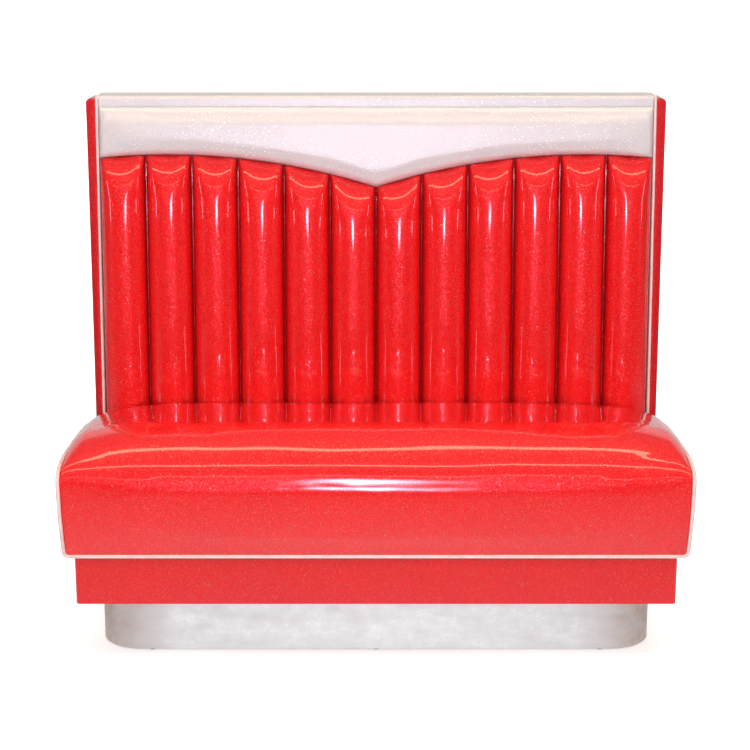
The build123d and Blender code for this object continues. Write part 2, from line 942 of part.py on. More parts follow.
with BuildPart() as seat_piping_right:
    with BuildLine(Plane.YZ.offset(piping_x)) as path:
        seat_top_edges(0)
    with BuildSketch(Plane(path.line @ 0, z_dir=path.line % 0)):
        Circle(piping_radius)
    sweep()
seat_piping_right.part.label = "seat_piping_right"
export_step(seat_piping_right.part, "parts/seat_piping_right.step")

with BuildPart() as seat_piping_left:
    mirror(seat_piping_right.part, about=Plane.YZ)
seat_piping_left.part.label = "seat_piping_left"
export_step(seat_piping_left.part, "parts/seat_piping_left.step")

foot_plane = Plane(
    origin=(0, foot_y, seat_bottom),
    x_dir=(1, 0, 0),
    z_dir=(0, -cos(foot_angle), -sin(foot_angle)),
)

with BuildPart() as seat_piping_front:
    with BuildLine(foot_plane) as path:
        FilletPolyline(
            (-piping_x, foot_run),
            (-piping_x, 0),
            (piping_x, 0),
            (piping_x, foot_run),
            radius=piping_corner_radius,
        )
    with BuildSketch(Plane(path.line @ 0, z_dir=path.line % 0)):
        Circle(piping_radius)
    sweep()
seat_piping_front.part.label = "seat_piping_front"
export_step(seat_piping_front.part, "parts/seat_piping_front.step")


# Frame of the seat

side_rail_span = (frame_bottom, side_rail_top)
end_rail_span = (frame_bottom, end_rail_top)

with BuildPart() as seat_front_rail:
    block((-frame_half, frame_half), (frame_front, frame_front + rail_thickness), end_rail_span)
seat_front_rail.part.label = "seat_front_rail"
export_step(seat_front_rail.part, "parts/seat_front_rail.step")

with BuildPart() as seat_rear_rail:
    block((-frame_half, frame_half), (frame_rear - rail_thickness, frame_rear), end_rail_span)
seat_rear_rail.part.label = "seat_rear_rail"
export_step(seat_rear_rail.part, "parts/seat_rear_rail.step")

with BuildPart() as seat_right_rail:
    block(
        (frame_half - rail_thickness, frame_half),
        (frame_front + rail_thickness, frame_rear - rail_thickness),
        side_rail_span,
    )
seat_right_rail.part.label = "seat_right_rail"
export_step(seat_right_rail.part, "parts/seat_right_rail.step")

with BuildPart() as seat_left_rail:
    mirror(seat_right_rail.part, about=Plane.YZ)
seat_left_rail.part.label = "seat_left_rail"
export_step(seat_left_rail.part, "parts/seat_left_rail.step")

with BuildPart() as seat_cross_rails:
    for x in bays(frame_half, cross_rail_count):
        block(
            (x - rail_thickness / 2, x + rail_thickness / 2),
            (frame_front + rail_thickness, frame_rear - rail_thickness),
            (frame_bottom, frame_bottom + cross_rail_height),
        )
seat_cross_rails.part.label = "seat_cross_rails"
export_step(seat_cross_rails.part, "parts/seat_cross_rails.step")

with BuildPart() as seat_webbing_across:
    for y in evenly(frame_front + cross_web_margin, frame_rear - cross_web_margin, cross_web_count):
        block(
            (-frame_half, frame_half),
            (y - web_width / 2, y + web_width / 2),
            (side_rail_top, end_rail_top),
        )
seat_webbing_across.part.label = "seat_webbing_across"
export_step(seat_webbing_across.part, "parts/seat_webbing_across.step")

with BuildPart() as seat_webbing_along:
    for x in evenly(long_web_margin - frame_half, frame_half - long_web_margin, long_web_count):
        block(
            (x - web_width / 2, x + web_width / 2),
            (frame_front, frame_rear),
            (end_rail_top, web_top),
        )
seat_webbing_along.part.label = "seat_webbing_along"
export_step(seat_webbing_along.part, "parts/seat_webbing_along.step")

cleat_x = frame_half - rail_thickness - cleat_thickness / 2
cleat_places = [
    (side * cleat_x, y)
    for side in (-1, 1)
    for y in (
        frame_front + rail_thickness + cleat_inset,
        frame_rear - rail_thickness - cleat_inset,
    )
]

with BuildPart() as seat_cleats:
    for x, y in cleat_places:
        with Locations((x, y, frame_bottom - cleat_drop)):
            Box(
                cleat_thickness,
                cleat_length,
                cleat_drop + cleat_rise,
                align=(Align.CENTER, Align.CENTER, Align.MIN),
            )
    chamfer(seat_cleats.faces().group_by(Axis.Z)[0].edges(), cleat_thickness / 4)
seat_cleats.part.label = "seat_cleats"
export_step(seat_cleats.part, "parts/seat_cleats.step")

with BuildPart() as seat_dust_cloth:
    block(
        (cover_hem - frame_half, frame_half - cover_hem),
        (frame_front + cover_hem, frame_rear - cover_hem),
        (frame_bottom - dust_cloth, frame_bottom),
    )
    for x, y in cleat_places:
        with Locations((x, y, frame_bottom)):
            Box(
                cleat_thickness + 2 * fit_gap,
                cleat_length + 2 * fit_gap,
                overrun,
                mode=Mode.SUBTRACT,
            )
seat_dust_cloth.part.label = "seat_dust_cloth"
export_step(seat_dust_cloth.part, "parts/seat_dust_cloth.step")
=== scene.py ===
# %% [markdown]
# # A diner booth in metal-flake vinyl
# The frame of the booth, its boards, its metal kick and its piping, comes in as finished solids.
# This lesson dresses it: it makes the stuffed parts again as upholstery, and gives every surface
# its finish. A reader can run it cell by cell. Lengths are in metres, the front faces -Y, and the
# floor is at Z = 0.

# %% Load the frame
import json
from math import atan2, cos, pi, radians, sin, tan

import bmesh
import bpy
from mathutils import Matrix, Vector, noise
from mathutils.kdtree import KDTree


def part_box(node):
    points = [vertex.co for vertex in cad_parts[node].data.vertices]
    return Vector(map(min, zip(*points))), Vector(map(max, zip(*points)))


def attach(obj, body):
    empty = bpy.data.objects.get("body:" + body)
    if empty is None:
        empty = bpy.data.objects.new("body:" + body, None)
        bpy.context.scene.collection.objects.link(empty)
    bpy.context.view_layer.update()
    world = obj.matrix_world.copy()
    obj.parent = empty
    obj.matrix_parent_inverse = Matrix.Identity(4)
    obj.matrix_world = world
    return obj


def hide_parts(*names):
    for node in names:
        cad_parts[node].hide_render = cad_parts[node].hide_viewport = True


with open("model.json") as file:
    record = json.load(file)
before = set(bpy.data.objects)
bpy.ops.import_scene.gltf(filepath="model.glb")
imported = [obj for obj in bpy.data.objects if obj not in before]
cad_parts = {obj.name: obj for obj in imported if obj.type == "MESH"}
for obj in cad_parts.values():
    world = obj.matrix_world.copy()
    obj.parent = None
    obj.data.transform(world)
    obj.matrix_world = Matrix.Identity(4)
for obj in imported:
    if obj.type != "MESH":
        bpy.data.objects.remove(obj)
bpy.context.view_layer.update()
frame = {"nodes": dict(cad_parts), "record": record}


# %% Small helpers
def linear(hex_colour):
    """An sRGB hex colour such as "c8141a" as linear red, green, blue and alpha."""
    parts = [int(hex_colour[place:place + 2], 16) / 255 for place in (0, 2, 4)]
    return [
        part / 12.92 if part <= 0.04045 else ((part + 0.055) / 1.055) ** 2.4 for part in parts
    ] + [1]


def mix(start, end, share):
    """The value a share of the way from a start to an end."""
    return start + (end - start) * share


def ripple(across, along, per_metre, seed):
    """A smooth random wave from -1 to 1 over a surface, with so many bumps to the metre."""
    return noise.noise(Vector((across * per_metre[0], along * per_metre[1], seed)))


def link(thing):
    """Put an object in the scene."""
    bpy.context.scene.collection.objects.link(thing)
    return thing


def place_mesh(mesh, name):
    """Show a finished mesh as a smooth piece at the origin."""
    for face in mesh.polygons:
        face.use_smooth = True
    print(name, len(mesh.vertices), "vertices")
    return link(bpy.data.objects.new(name, mesh))


def keep_mesh(bm, name):
    """Turn a finished bmesh into a piece of the scene."""
    mesh = bpy.data.meshes.new(name)
    bm.to_mesh(mesh)
    bm.free()
    return place_mesh(mesh, name)


def open_edges(bm):
    """The edges along the border of a form that isn't closed yet."""
    return [edge for edge in bm.edges if edge.is_boundary]


def extrude_edges(bm, edges):
    """Extrude some edges, and give back the new vertices and the new edges."""
    grown = bmesh.ops.extrude_edge_only(bm, edges=edges)["geom"]
    kinds = (bmesh.types.BMVert, bmesh.types.BMEdge)
    return [[item for item in grown if isinstance(item, kind)] for kind in kinds]


# %% [markdown]
# ## The camera
# The photograph was taken from a standing height, a few steps in front of the middle, looking a
# little down. A long lens flattens the booth. The distance, the height and the tilt were fitted
# to the outline of the real booth, so that the same corners fall on the same places.

# %% Place the camera
image_width = 750  # pixels
camera_distance = 3.6035
camera_height = 1.431
camera_tilt = radians(14.18)
lens_in_pixels = 1814
middle_in_pixels = 376
sensor_width = 36.0  # millimetres

camera_data = bpy.data.cameras.new("camera")
camera_data.sensor_width = sensor_width
camera_data.lens = lens_in_pixels / image_width * sensor_width
camera_data.shift_x = (image_width / 2 - middle_in_pixels) / image_width
camera = bpy.data.objects.new("camera", camera_data)
camera.location = (0, -camera_distance, camera_height)
camera.rotation_euler = (pi / 2 - camera_tilt, 0, 0)
bpy.context.scene.camera = link(camera)
bpy.context.scene.view_settings.view_transform = "Standard"
print("lens", round(camera_data.lens, 1), "mm")

# %% [markdown]
# ## The light and the backdrop
# Glossy vinyl shows its surroundings, so the lamps are shaped like the real ones. Three rows of
# long tubes on the ceiling draw the thin lines on the seat and on the tops of the channels. A
# soft box just below the camera, bright in its middle, draws the streak down each channel, and a
# narrow box at each side draws the thin lines near the seams. Two wide lamps that no gloss shows,
# and a dim sky, give the even light. A picture of the lamps in the gloss is brighter than the
# vinyl that they light, as on the real seat, and the lamps stay as low as that allows.


# %% Lamps
power_per_radiance = 4  # watts for each square metre of lamp


def add_lamp(name, place, target, size, radiance, colour, mirrored=True):
    """A flat lamp that faces a target; its radiance of 1 is the white of the picture."""
    lamp = bpy.data.lights.new(name, "AREA")
    lamp.shape = "RECTANGLE"
    lamp.size, lamp.size_y = size
    lamp.energy = power_per_radiance * size[0] * size[1] * radiance
    lamp.color = linear(colour)[:3]
    holder = bpy.data.objects.new(name, lamp)
    holder.location = place
    holder.rotation_euler = (Vector(target) - Vector(place)).to_track_quat("-Z", "Y").to_euler()
    holder.visible_glossy = mirrored
    return link(holder)


tube_height = 2.6
tube_length = 6.0
tubes = {  # how far back each row hangs, its width and its radiance
    "rear": (0.25, 0.20, 6.0), "middle": (-1.35, 0.24, 6.0), "front": (-4.6, 0.35, 3.5),
}
for name, (tube_y, width, radiance) in tubes.items():
    add_lamp(
        f"tube_{name}", place=(0, tube_y, tube_height), target=(0, tube_y, 0),
        size=(tube_length, width), radiance=radiance, colour="ffd2ac",
    )
flash = add_lamp(
    "flash", place=(-0.02, -3.75, 1.12), target=(0, 0.2, 0.8),
    size=(0.80, 1.1), radiance=46.0, colour="ece2ff",
)
for name, side in (("side_left", -1), ("side_right", 1)):
    add_lamp(
        name, place=(side * 3.4, -1.3, 1.2), target=(0, 0.2, 0.85),
        size=(0.30, 1.0), radiance=5.0, colour="f4ecff",
    )
soft_size = (4.0, 2.6)
add_lamp(
    "soft_top", place=(0, -1.6, 3.4), target=(0, -0.1, 0.4),
    size=soft_size, radiance=1.15, colour="fff4ec", mirrored=False,
)
add_lamp(
    "soft_front", place=(0, -4.4, 1.9), target=(0, 0.1, 0.5),
    size=soft_size, radiance=1.1, colour="fffafa", mirrored=False,
)

# %% [markdown]
# ### The flash's fall-off and the sky
# A soft box is brightest over its bulb. The lamp's own node tree reads how far a point lies from
# the middle of the box and lets the light fall off to the rim, so that the streaks have soft
# ends. The sky is a ramp of greys by height: dim at the horizon, and lighter overhead and below.
# The camera sees it as plain white.

# %% Fall-off and sky
flash_power = 1.8
sky_steps = [(0.3, 0.2), (0.47, 0.08), (0.56, 0.08), (0.75, 0.15), (1.0, 0.22)]  # height, grey

sky = bpy.data.worlds.new("sky")
bpy.context.scene.world = sky
sky.use_nodes = True


def add_node(tree, kind, settings=None, **links):
    """Add a node, set what is given, and join its inputs, by name or as i0, i1, to values."""
    made = tree.nodes.new(kind)
    for key, value in (settings or {}).items():
        setattr(made, key, value)
    for key, value in links.items():
        numbered = key[1:].isdigit()
        socket = made.inputs[int(key[1:]) if numbered else key.replace("_", " ")]
        if isinstance(value, bpy.types.NodeSocket):
            tree.links.new(value, socket)
        else:
            socket.default_value = value
    return made


flash.data.use_nodes = True
tree = flash.data.node_tree
across = add_node(tree, "ShaderNodeNewGeometry").outputs["Parametric"]
from_middle = add_node(
    tree, "ShaderNodeVectorMath", {"operation": "MULTIPLY_ADD"},
    i0=across, i1=(2, 2, 0), i2=(-1, -1, 0),
).outputs[0]
reach = add_node(tree, "ShaderNodeVectorMath", {"operation": "LENGTH"}, i0=from_middle).outputs[1]
soft = add_node(tree, "ShaderNodeMapRange", i0=reach, i1=0.0, i2=1.0, i3=1.0, i4=0.0).outputs[0]
soft = add_node(
    tree, "ShaderNodeMath", {"operation": "POWER"}, i0=soft, i1=flash_power,
).outputs[0]
tree.links.new(soft, tree.nodes["Emission"].inputs["Strength"])

tree = sky.node_tree
tree.nodes.clear()
direction = add_node(tree, "ShaderNodeTexCoord").outputs["Generated"]
height = add_node(tree, "ShaderNodeSeparateXYZ", Vector=direction).outputs["Z"]
share = add_node(tree, "ShaderNodeMapRange", i0=height, i1=-1.0, i2=1.0).outputs[0]
sky_ramp = add_node(tree, "ShaderNodeValToRGB", Fac=share)
while len(sky_ramp.color_ramp.elements) < len(sky_steps):
    sky_ramp.color_ramp.elements.new(0.5)
for element, (place, grey) in zip(sky_ramp.color_ramp.elements, sky_steps):
    element.position = place
    element.color = (grey, grey, grey, 1)
glow = add_node(tree, "ShaderNodeBackground", Color=sky_ramp.outputs["Color"], Strength=1.0)
white = add_node(tree, "ShaderNodeBackground", Color=(1, 1, 1, 1), Strength=1.0)
rays = add_node(tree, "ShaderNodeLightPath")
glow = add_node(
    tree, "ShaderNodeMixShader",
    i0=rays.outputs["Is Camera Ray"], i1=glow.outputs[0], i2=white.outputs[0],
)
add_node(tree, "ShaderNodeOutputWorld", Surface=glow.outputs[0])


# %% [markdown]
# ## The backdrop
# The booth stands on a sheet of white paper that runs up behind it in a curve. The paper is matt,
# so it takes the booth's shadow. To the camera it also glows up to white, less near the kick,
# where the shadow lies. Gloss sees another picture of it: white near the kick and fading away
# from it, with a dim wall behind, because a real room isn't white all round. Seen from the back
# the paper is clear, so that the rear of the booth can be looked at too.

# %% Sweep the paper up behind the booth
def new_material(name):
    """An empty material and its node tree."""
    made = bpy.data.materials.new(name)
    made.use_nodes = True
    made.node_tree.nodes.clear()
    return made, made.node_tree


backdrop_half = 5.0
backdrop_front = -6.0
backdrop_rear = 2.6
cove_radius = 0.8
cove_steps = 16
wall_height = 1.6

bm = bmesh.new()
first = bm.verts.new((-backdrop_half, backdrop_front, 0))
second = bm.verts.new((backdrop_half, backdrop_front, 0))
front_edge = bm.edges.new((first, second))
cove_y = backdrop_rear - cove_radius
corners, edges = extrude_edges(bm, [front_edge])
bmesh.ops.translate(bm, vec=(0, cove_y - backdrop_front, 0), verts=corners)
spun = bmesh.ops.spin(
    bm, geom=[edges[0], *corners], cent=(0, cove_y, cove_radius),
    axis=(1, 0, 0), angle=pi / 2, steps=cove_steps,
)["geom_last"]
top_edge = next(item for item in spun if isinstance(item, bmesh.types.BMEdge))
corners, edges = extrude_edges(bm, [top_edge])
bmesh.ops.translate(bm, vec=(0, 0, wall_height), verts=corners)
bm.normal_update()
turned_away = [face for face in bm.faces if face.normal.z < 0 or face.normal.y > 0.5]
bmesh.ops.reverse_faces(bm, faces=turned_away)
bm.normal_update()
facing_in = all(face.normal.z > -1e-6 and face.normal.y < 1e-6 for face in bm.faces)
print("backdrop faces up or forward", facing_in)
backdrop = keep_mesh(bm, "backdrop")

# %% The paper's looks
paper_glow = 0.42  # how much of white the paper glows with beside the kick
glow_start, glow_full = 0.1, 0.8  # metres from the kick over which that rises to white
mirrored_near = 0.93  # with mirrored_far, white: what gloss sees of the paper beside the kick
mirrored_far = 0.07
fading_base = 0.25  # the share of that which is left a metre away
kick_shift = (0.0, 0.35, 0.0)  # brings the place below the front of the kick to the middle
kick_squeeze = (0.3, 1, 1)  # the kick is long, so distance along it counts for less
wall_start, wall_full, wall_most = 1.0, 1.8, 0.6  # the wall's dim glow, by distance behind
paper, tree = new_material("paper_backdrop_matt")
rays = add_node(tree, "ShaderNodeLightPath")
seen = add_node(
    tree, "ShaderNodeMath", {"operation": "MAXIMUM"},
    i0=rays.outputs["Is Camera Ray"], i1=rays.outputs["Is Transmission Ray"],
).outputs[0]
matt = add_node(tree, "ShaderNodeBsdfDiffuse", Color=linear("f4f4f4"))
place = add_node(tree, "ShaderNodeTexCoord").outputs["Object"]
from_kick = add_node(
    tree, "ShaderNodeMapping", Vector=place, Location=kick_shift, Scale=kick_squeeze,
).outputs[0]
away = add_node(tree, "ShaderNodeVectorMath", {"operation": "LENGTH"}, i0=from_kick).outputs[1]
fading = add_node(
    tree, "ShaderNodeMath", {"operation": "POWER"}, i0=fading_base, i1=away,
).outputs[0]
mirrored = add_node(
    tree, "ShaderNodeMath", {"operation": "MULTIPLY_ADD"},
    i0=fading, i1=mirrored_near, i2=mirrored_far,
).outputs[0]
whiteness = add_node(
    tree, "ShaderNodeMapRange", i0=away, i1=glow_start, i2=glow_full, i3=paper_glow, i4=1.0,
).outputs[0]
glow = add_node(
    tree, "ShaderNodeMath", {"operation": "MULTIPLY"}, i0=seen, i1=whiteness,
).outputs[0]
shine = add_node(tree, "ShaderNodeEmission", Color=linear("f4faff"), Strength=glow)
lit_paper = add_node(tree, "ShaderNodeAddShader", i0=matt.outputs[0], i1=shine.outputs[0])
behind = add_node(tree, "ShaderNodeSeparateXYZ", Vector=place).outputs["Y"]
wall_glow = add_node(
    tree, "ShaderNodeMapRange", i0=behind, i1=wall_start, i2=wall_full, i3=0.0, i4=wall_most,
).outputs[0]
mirrored = add_node(
    tree, "ShaderNodeMath", {"operation": "MAXIMUM"}, i0=mirrored, i1=wall_glow,
).outputs[0]
dim_paper = add_node(tree, "ShaderNodeEmission", Color=(1, 1, 1, 1), Strength=mirrored)
both = add_node(
    tree, "ShaderNodeMixShader",
    i0=rays.outputs["Is Glossy Ray"], i1=lit_paper.outputs[0], i2=dim_paper.outputs[0],
).outputs[0]
reverse_side = add_node(tree, "ShaderNodeNewGeometry").outputs["Backfacing"]
clear = add_node(tree, "ShaderNodeBsdfTransparent").outputs[0]
clear_from_behind = add_node(
    tree, "ShaderNodeMixShader", i0=reverse_side, i1=both, i2=clear,
).outputs[0]
add_node(tree, "ShaderNodeOutputMaterial", Surface=clear_from_behind)
backdrop.data.materials.append(paper)

# %% [markdown]
# ## Metal-flake vinyl
# The covers are calendered PVC with small aluminium flakes under a thick clear layer. The clear
# layer is mirror-smooth, so it shows the lamps sharply, and the flakes below it each lie at their
# own angle, so that a few flash while most stay dark. A coat on the shader gives the clear layer.
# Below it, the cells of a Voronoi texture stand for the flakes, and those of a finer one for the
# grain, each with its own tilt. A real flake is about 0.5 mm, too fine to show at this distance,
# so the flakes are 2.1 mm and the grain is 1.3 mm. A cloudy noise shifts the tone over the width
# of a hand and gathers the brightest flecks in clusters, where on the silver vinyl they glow with
# their own light as a painted sparkle. Painted shade darkens the colour in a seam, along the
# wings' outer edges and over the apron; it comes from the piece's own "crease" attribute, which is
# 0 on a crest and rises toward 1 in a fold.

# %% The vinyls
flake_size = 0.0021
fleck_share = 0.035  # of the cells, the ones that face the light
fleck_reach = 0.46  # of a cell, how far its fleck spreads
fleck_cover = 0.75
grain_size = 0.0013
grain_start, grain_cover = 0.6, 0.14
flake_tilt = 0.24
base_metal = 0.06
cloud_size = 0.16
cluster_start, cluster_full = 0.47, 0.6
pvc_ior, clear_ior = 1.6, 1.5
pvc_roughness, pvc_specular = 0.25, 0.6


def flake_vinyl(name, colour, deep, flake, crease, sheen, gloss, fleck_metal, glint):
    """Glossy vinyl: its tones, the roughness of its coat, how its flecks shine, and how brightly
    some flecks glow as a painted sparkle.
    """
    made, tree = new_material(name)
    place = add_node(tree, "ShaderNodeTexCoord").outputs["Object"]
    cloud = add_node(tree, "ShaderNodeTexNoise", Vector=place, Scale=1 / cloud_size, Detail=3.0)
    body = add_node(
        tree, "ShaderNodeMix", {"data_type": "RGBA"},
        i0=cloud.outputs["Fac"], i6=linear(colour), i7=linear(deep),
    ).outputs[2]
    cells = add_node(tree, "ShaderNodeTexVoronoi", Vector=place, Scale=1 / flake_size)
    chances = add_node(tree, "ShaderNodeSeparateColor", Color=cells.outputs["Color"])
    near = add_node(
        tree, "ShaderNodeMath", {"operation": "LESS_THAN"},
        i0=cells.outputs["Distance"], i1=fleck_reach,
    ).outputs[0]
    lit = add_node(
        tree, "ShaderNodeMath", {"operation": "GREATER_THAN"},
        i0=chances.outputs[0], i1=1 - fleck_share,
    ).outputs[0]
    flecks = add_node(
        tree, "ShaderNodeMath", {"operation": "MULTIPLY"}, i0=lit, i1=near,
    ).outputs[0]
    grains = add_node(tree, "ShaderNodeTexVoronoi", Vector=place, Scale=1 / grain_size)
    grain_chance = add_node(tree, "ShaderNodeSeparateColor", Color=grains.outputs["Color"])
    fine = add_node(
        tree, "ShaderNodeMapRange",
        i0=grain_chance.outputs[1], i1=grain_start, i2=1.0, i3=0.0, i4=grain_cover,
    ).outputs[0]
    grainy = add_node(
        tree, "ShaderNodeMix", {"data_type": "RGBA"}, i0=fine, i6=body, i7=linear(flake),
    ).outputs[2]
    fleck_mix = add_node(
        tree, "ShaderNodeMath", {"operation": "MULTIPLY"}, i0=flecks, i1=fleck_cover,
    ).outputs[0]
    shown = add_node(
        tree, "ShaderNodeMix", {"data_type": "RGBA"}, i0=fleck_mix, i6=grainy, i7=linear(flake),
    ).outputs[2]
    # Painted shade: the crease attribute mixes the colour toward the dark crease colour.
    painted_shade = add_node(tree, "ShaderNodeAttribute", {"attribute_name": "crease"}).outputs["Fac"]
    shown = add_node(
        tree, "ShaderNodeMix", {"data_type": "RGBA"}, i0=painted_shade, i6=shown, i7=linear(crease),
    ).outputs[2]
    turned = add_node(
        tree, "ShaderNodeVectorMath", {"operation": "SUBTRACT"},
        i0=grains.outputs["Color"], i1=(0.5, 0.5, 0.5),
    ).outputs[0]
    leaning = add_node(
        tree, "ShaderNodeVectorMath", {"operation": "SCALE"}, i0=turned, Scale=flake_tilt,
    ).outputs[0]
    normal = add_node(tree, "ShaderNodeNewGeometry").outputs["Normal"]
    facing = add_node(
        tree, "ShaderNodeVectorMath", {"operation": "ADD"}, i0=normal, i1=leaning,
    ).outputs[0]
    facing = add_node(
        tree, "ShaderNodeVectorMath", {"operation": "NORMALIZE"}, i0=facing,
    ).outputs[0]
    metal = add_node(
        tree, "ShaderNodeMapRange", i0=flecks, i1=0.0, i2=1.0, i3=base_metal, i4=fleck_metal,
    ).outputs[0]
    skin = add_node(
        tree, "ShaderNodeBsdfPrincipled", Base_Color=shown, Metallic=metal, Normal=facing,
        Roughness=pvc_roughness, IOR=pvc_ior, Specular_IOR_Level=pvc_specular,
        Specular_Tint=linear(sheen), Coat_Weight=1.0, Coat_Roughness=gloss, Coat_IOR=clear_ior,
    )
    # Painted sparkle: in the clusters the flecks glow with their own light, as emission.
    if glint:
        clusters = add_node(
            tree, "ShaderNodeMapRange",
            i0=cloud.outputs["Fac"], i1=cluster_start, i2=cluster_full, i3=0.0, i4=glint,
        ).outputs[0]
        painted_glints = add_node(
            tree, "ShaderNodeMath", {"operation": "MULTIPLY"}, i0=clusters, i1=flecks,
        ).outputs[0]
        tree.links.new(painted_glints, skin.inputs["Emission Strength"])
        skin.inputs["Emission Color"].default_value = linear(flake)
    add_node(tree, "ShaderNodeOutputMaterial", Surface=skin.outputs[0])
    return made


red_vinyl = flake_vinyl(
    "vinyl_red_metal_flake", colour="f01016", deep="e60a13", flake="ff9a88", crease="7d0008",
    sheen="ff9fa8", gloss=0.03, fleck_metal=0.5, glint=0.0,
)
white_vinyl = flake_vinyl(
    "vinyl_silver_metal_flake", colour="dde1e6", deep="d2d7de", flake="ffffff",
    crease="8a6f72", sheen="ffffff", gloss=0.34, fleck_metal=0.0, glint=0.5,
)

# %% [markdown]
# ## Piping
# The welts are a cord wrapped in plain gloss vinyl, without flakes. It is pale pink against the
# red, a little grimy where hands and cloths have passed. A faint cloudiness and a coat are
# enough, because the roundness is in the shape.

# %% The welt vinyl
grime_size = 0.025
grime_start, grime_full, grime_most = 0.45, 0.8, 0.6
welt_vinyl, tree = new_material("vinyl_welt_gloss")
place = add_node(tree, "ShaderNodeTexCoord").outputs["Object"]
grime = add_node(tree, "ShaderNodeTexNoise", Vector=place, Scale=1 / grime_size, Detail=4.0)
grime_share = add_node(
    tree, "ShaderNodeMapRange",
    i0=grime.outputs["Fac"], i1=grime_start, i2=grime_full, i3=0.0, i4=grime_most,
).outputs[0]
welt_colour = add_node(
    tree, "ShaderNodeMix", {"data_type": "RGBA"},
    i0=grime_share, i6=linear("f3dfdf"), i7=linear("d8bcbc"),
).outputs[2]
welt_skin = add_node(
    tree, "ShaderNodeBsdfPrincipled", Base_Color=welt_colour, Roughness=0.35,
    IOR=1.5, Coat_Weight=0.6, Coat_Roughness=0.08,
)
add_node(tree, "ShaderNodeOutputMaterial", Surface=welt_skin.outputs[0])

# %% [markdown]
# ## The kick's sheet
# The kick is wrapped in bare rolled aluminium, kicked and mopped for years. It is a pale grey
# with long horizontal wipe marks, and its colour turns browner toward the two bent ends. Two
# noises, one stretched along the sheet, mix the tones, and the same noises make it duller where it
# is dirty.
# It looks almost white because it mirrors the paper on the floor.

# %% The worn sheet
kick_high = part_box("kick_sheet")[1]
wipe_stretch = (5.0, 5.0, 16.0)  # squeezed in height, so that the wipes run along the sheet
wipe_scale = 2.2
blots_per_metre = 34.0
worn_start, worn_full = 0.12, 0.38
dull_start, dull_full = 0.14, 0.4
dullest, brightest = 0.36, 0.20  # roughness
brown_start, brown_most = 0.40, 1.3
dent_depth = 0.0006
worn_metal, tree = new_material("aluminium_sheet_rolled_worn")
place = add_node(tree, "ShaderNodeTexCoord").outputs["Object"]
drawn = add_node(tree, "ShaderNodeMapping", Vector=place, Scale=wipe_stretch).outputs[0]
wipes = add_node(
    tree, "ShaderNodeTexNoise", Vector=drawn, Scale=wipe_scale, Detail=8.0, Roughness=0.62,
)
blots = add_node(
    tree, "ShaderNodeTexNoise", Vector=place, Scale=blots_per_metre, Detail=10.0, Roughness=0.78,
)
worn = add_node(
    tree, "ShaderNodeMath", {"operation": "MULTIPLY"},
    i0=wipes.outputs["Fac"], i1=blots.outputs["Fac"],
).outputs[0]
tones = add_node(tree, "ShaderNodeValToRGB", Fac=worn)
dirty_tone, clean_tone = tones.color_ramp.elements
dirty_tone.position, clean_tone.position = worn_start, worn_full
dirty_tone.color, clean_tone.color = linear("eee8ea"), linear("fffdff")
along = add_node(tree, "ShaderNodeSeparateXYZ", Vector=place).outputs["X"]
away = add_node(tree, "ShaderNodeMath", {"operation": "ABSOLUTE"}, i0=along).outputs[0]
ends = add_node(
    tree, "ShaderNodeMapRange", i0=away, i1=brown_start, i2=kick_high.x, i3=0.0, i4=brown_most,
).outputs[0]
# The colour turns browner toward the two bent ends, in blots.
browner = add_node(
    tree, "ShaderNodeMath", {"operation": "MULTIPLY"}, i0=ends, i1=blots.outputs["Fac"],
).outputs[0]
sheet_colour = add_node(
    tree, "ShaderNodeMix", {"data_type": "RGBA"},
    i0=browner, i6=tones.outputs["Color"], i7=linear("a87c60"),
).outputs[2]
dullness = add_node(
    tree, "ShaderNodeMapRange", i0=worn, i1=dull_start, i2=dull_full, i3=dullest, i4=brightest,
).outputs[0]
dents = add_node(
    tree, "ShaderNodeBump", Strength=0.25, Distance=dent_depth, Height=blots.outputs["Fac"],
).outputs[0]
metal_skin = add_node(
    tree, "ShaderNodeBsdfPrincipled", Base_Color=sheet_colour, Metallic=1.0, Roughness=dullness,
    Normal=dents,
)
add_node(tree, "ShaderNodeOutputMaterial", Surface=metal_skin.outputs[0])


# %% [markdown]
# ## Wood, foam and the small materials
# Inside are birch plywood boards, beech rails, a hardboard rear panel, foam, webbing and a black
# dust cloth. They show when the seat is lifted off. One function makes the woods, with grain that
# runs along the board, and another the plain small materials with a fine mottle.

# %% Woods and small materials
bump_strength = 0.3
wood_ridge = 0.0003


def grained_wood(name, light, dark, ring_size, stretch):
    """Sawn or peeled wood: long streaks of two tones, with a fine bump across them."""
    made, tree = new_material(name)
    place = add_node(tree, "ShaderNodeTexCoord").outputs["Object"]
    drawn = add_node(tree, "ShaderNodeMapping", Vector=place, Scale=stretch).outputs[0]
    grain = add_node(tree, "ShaderNodeTexNoise", Vector=drawn, Scale=1 / ring_size, Detail=6.0)
    tone = add_node(
        tree, "ShaderNodeMapRange", i0=grain.outputs["Fac"], i1=0.35, i2=0.65,
    ).outputs[0]
    colour = add_node(
        tree, "ShaderNodeMix", {"data_type": "RGBA"}, i0=tone, i6=linear(light), i7=linear(dark),
    ).outputs[2]
    ridges = add_node(
        tree, "ShaderNodeBump",
        Strength=bump_strength, Distance=wood_ridge, Height=grain.outputs["Fac"],
    ).outputs[0]
    skin = add_node(
        tree, "ShaderNodeBsdfPrincipled",
        Base_Color=colour, Roughness=0.62, IOR=1.5, Normal=ridges,
    )
    add_node(tree, "ShaderNodeOutputMaterial", Surface=skin.outputs[0])
    return made


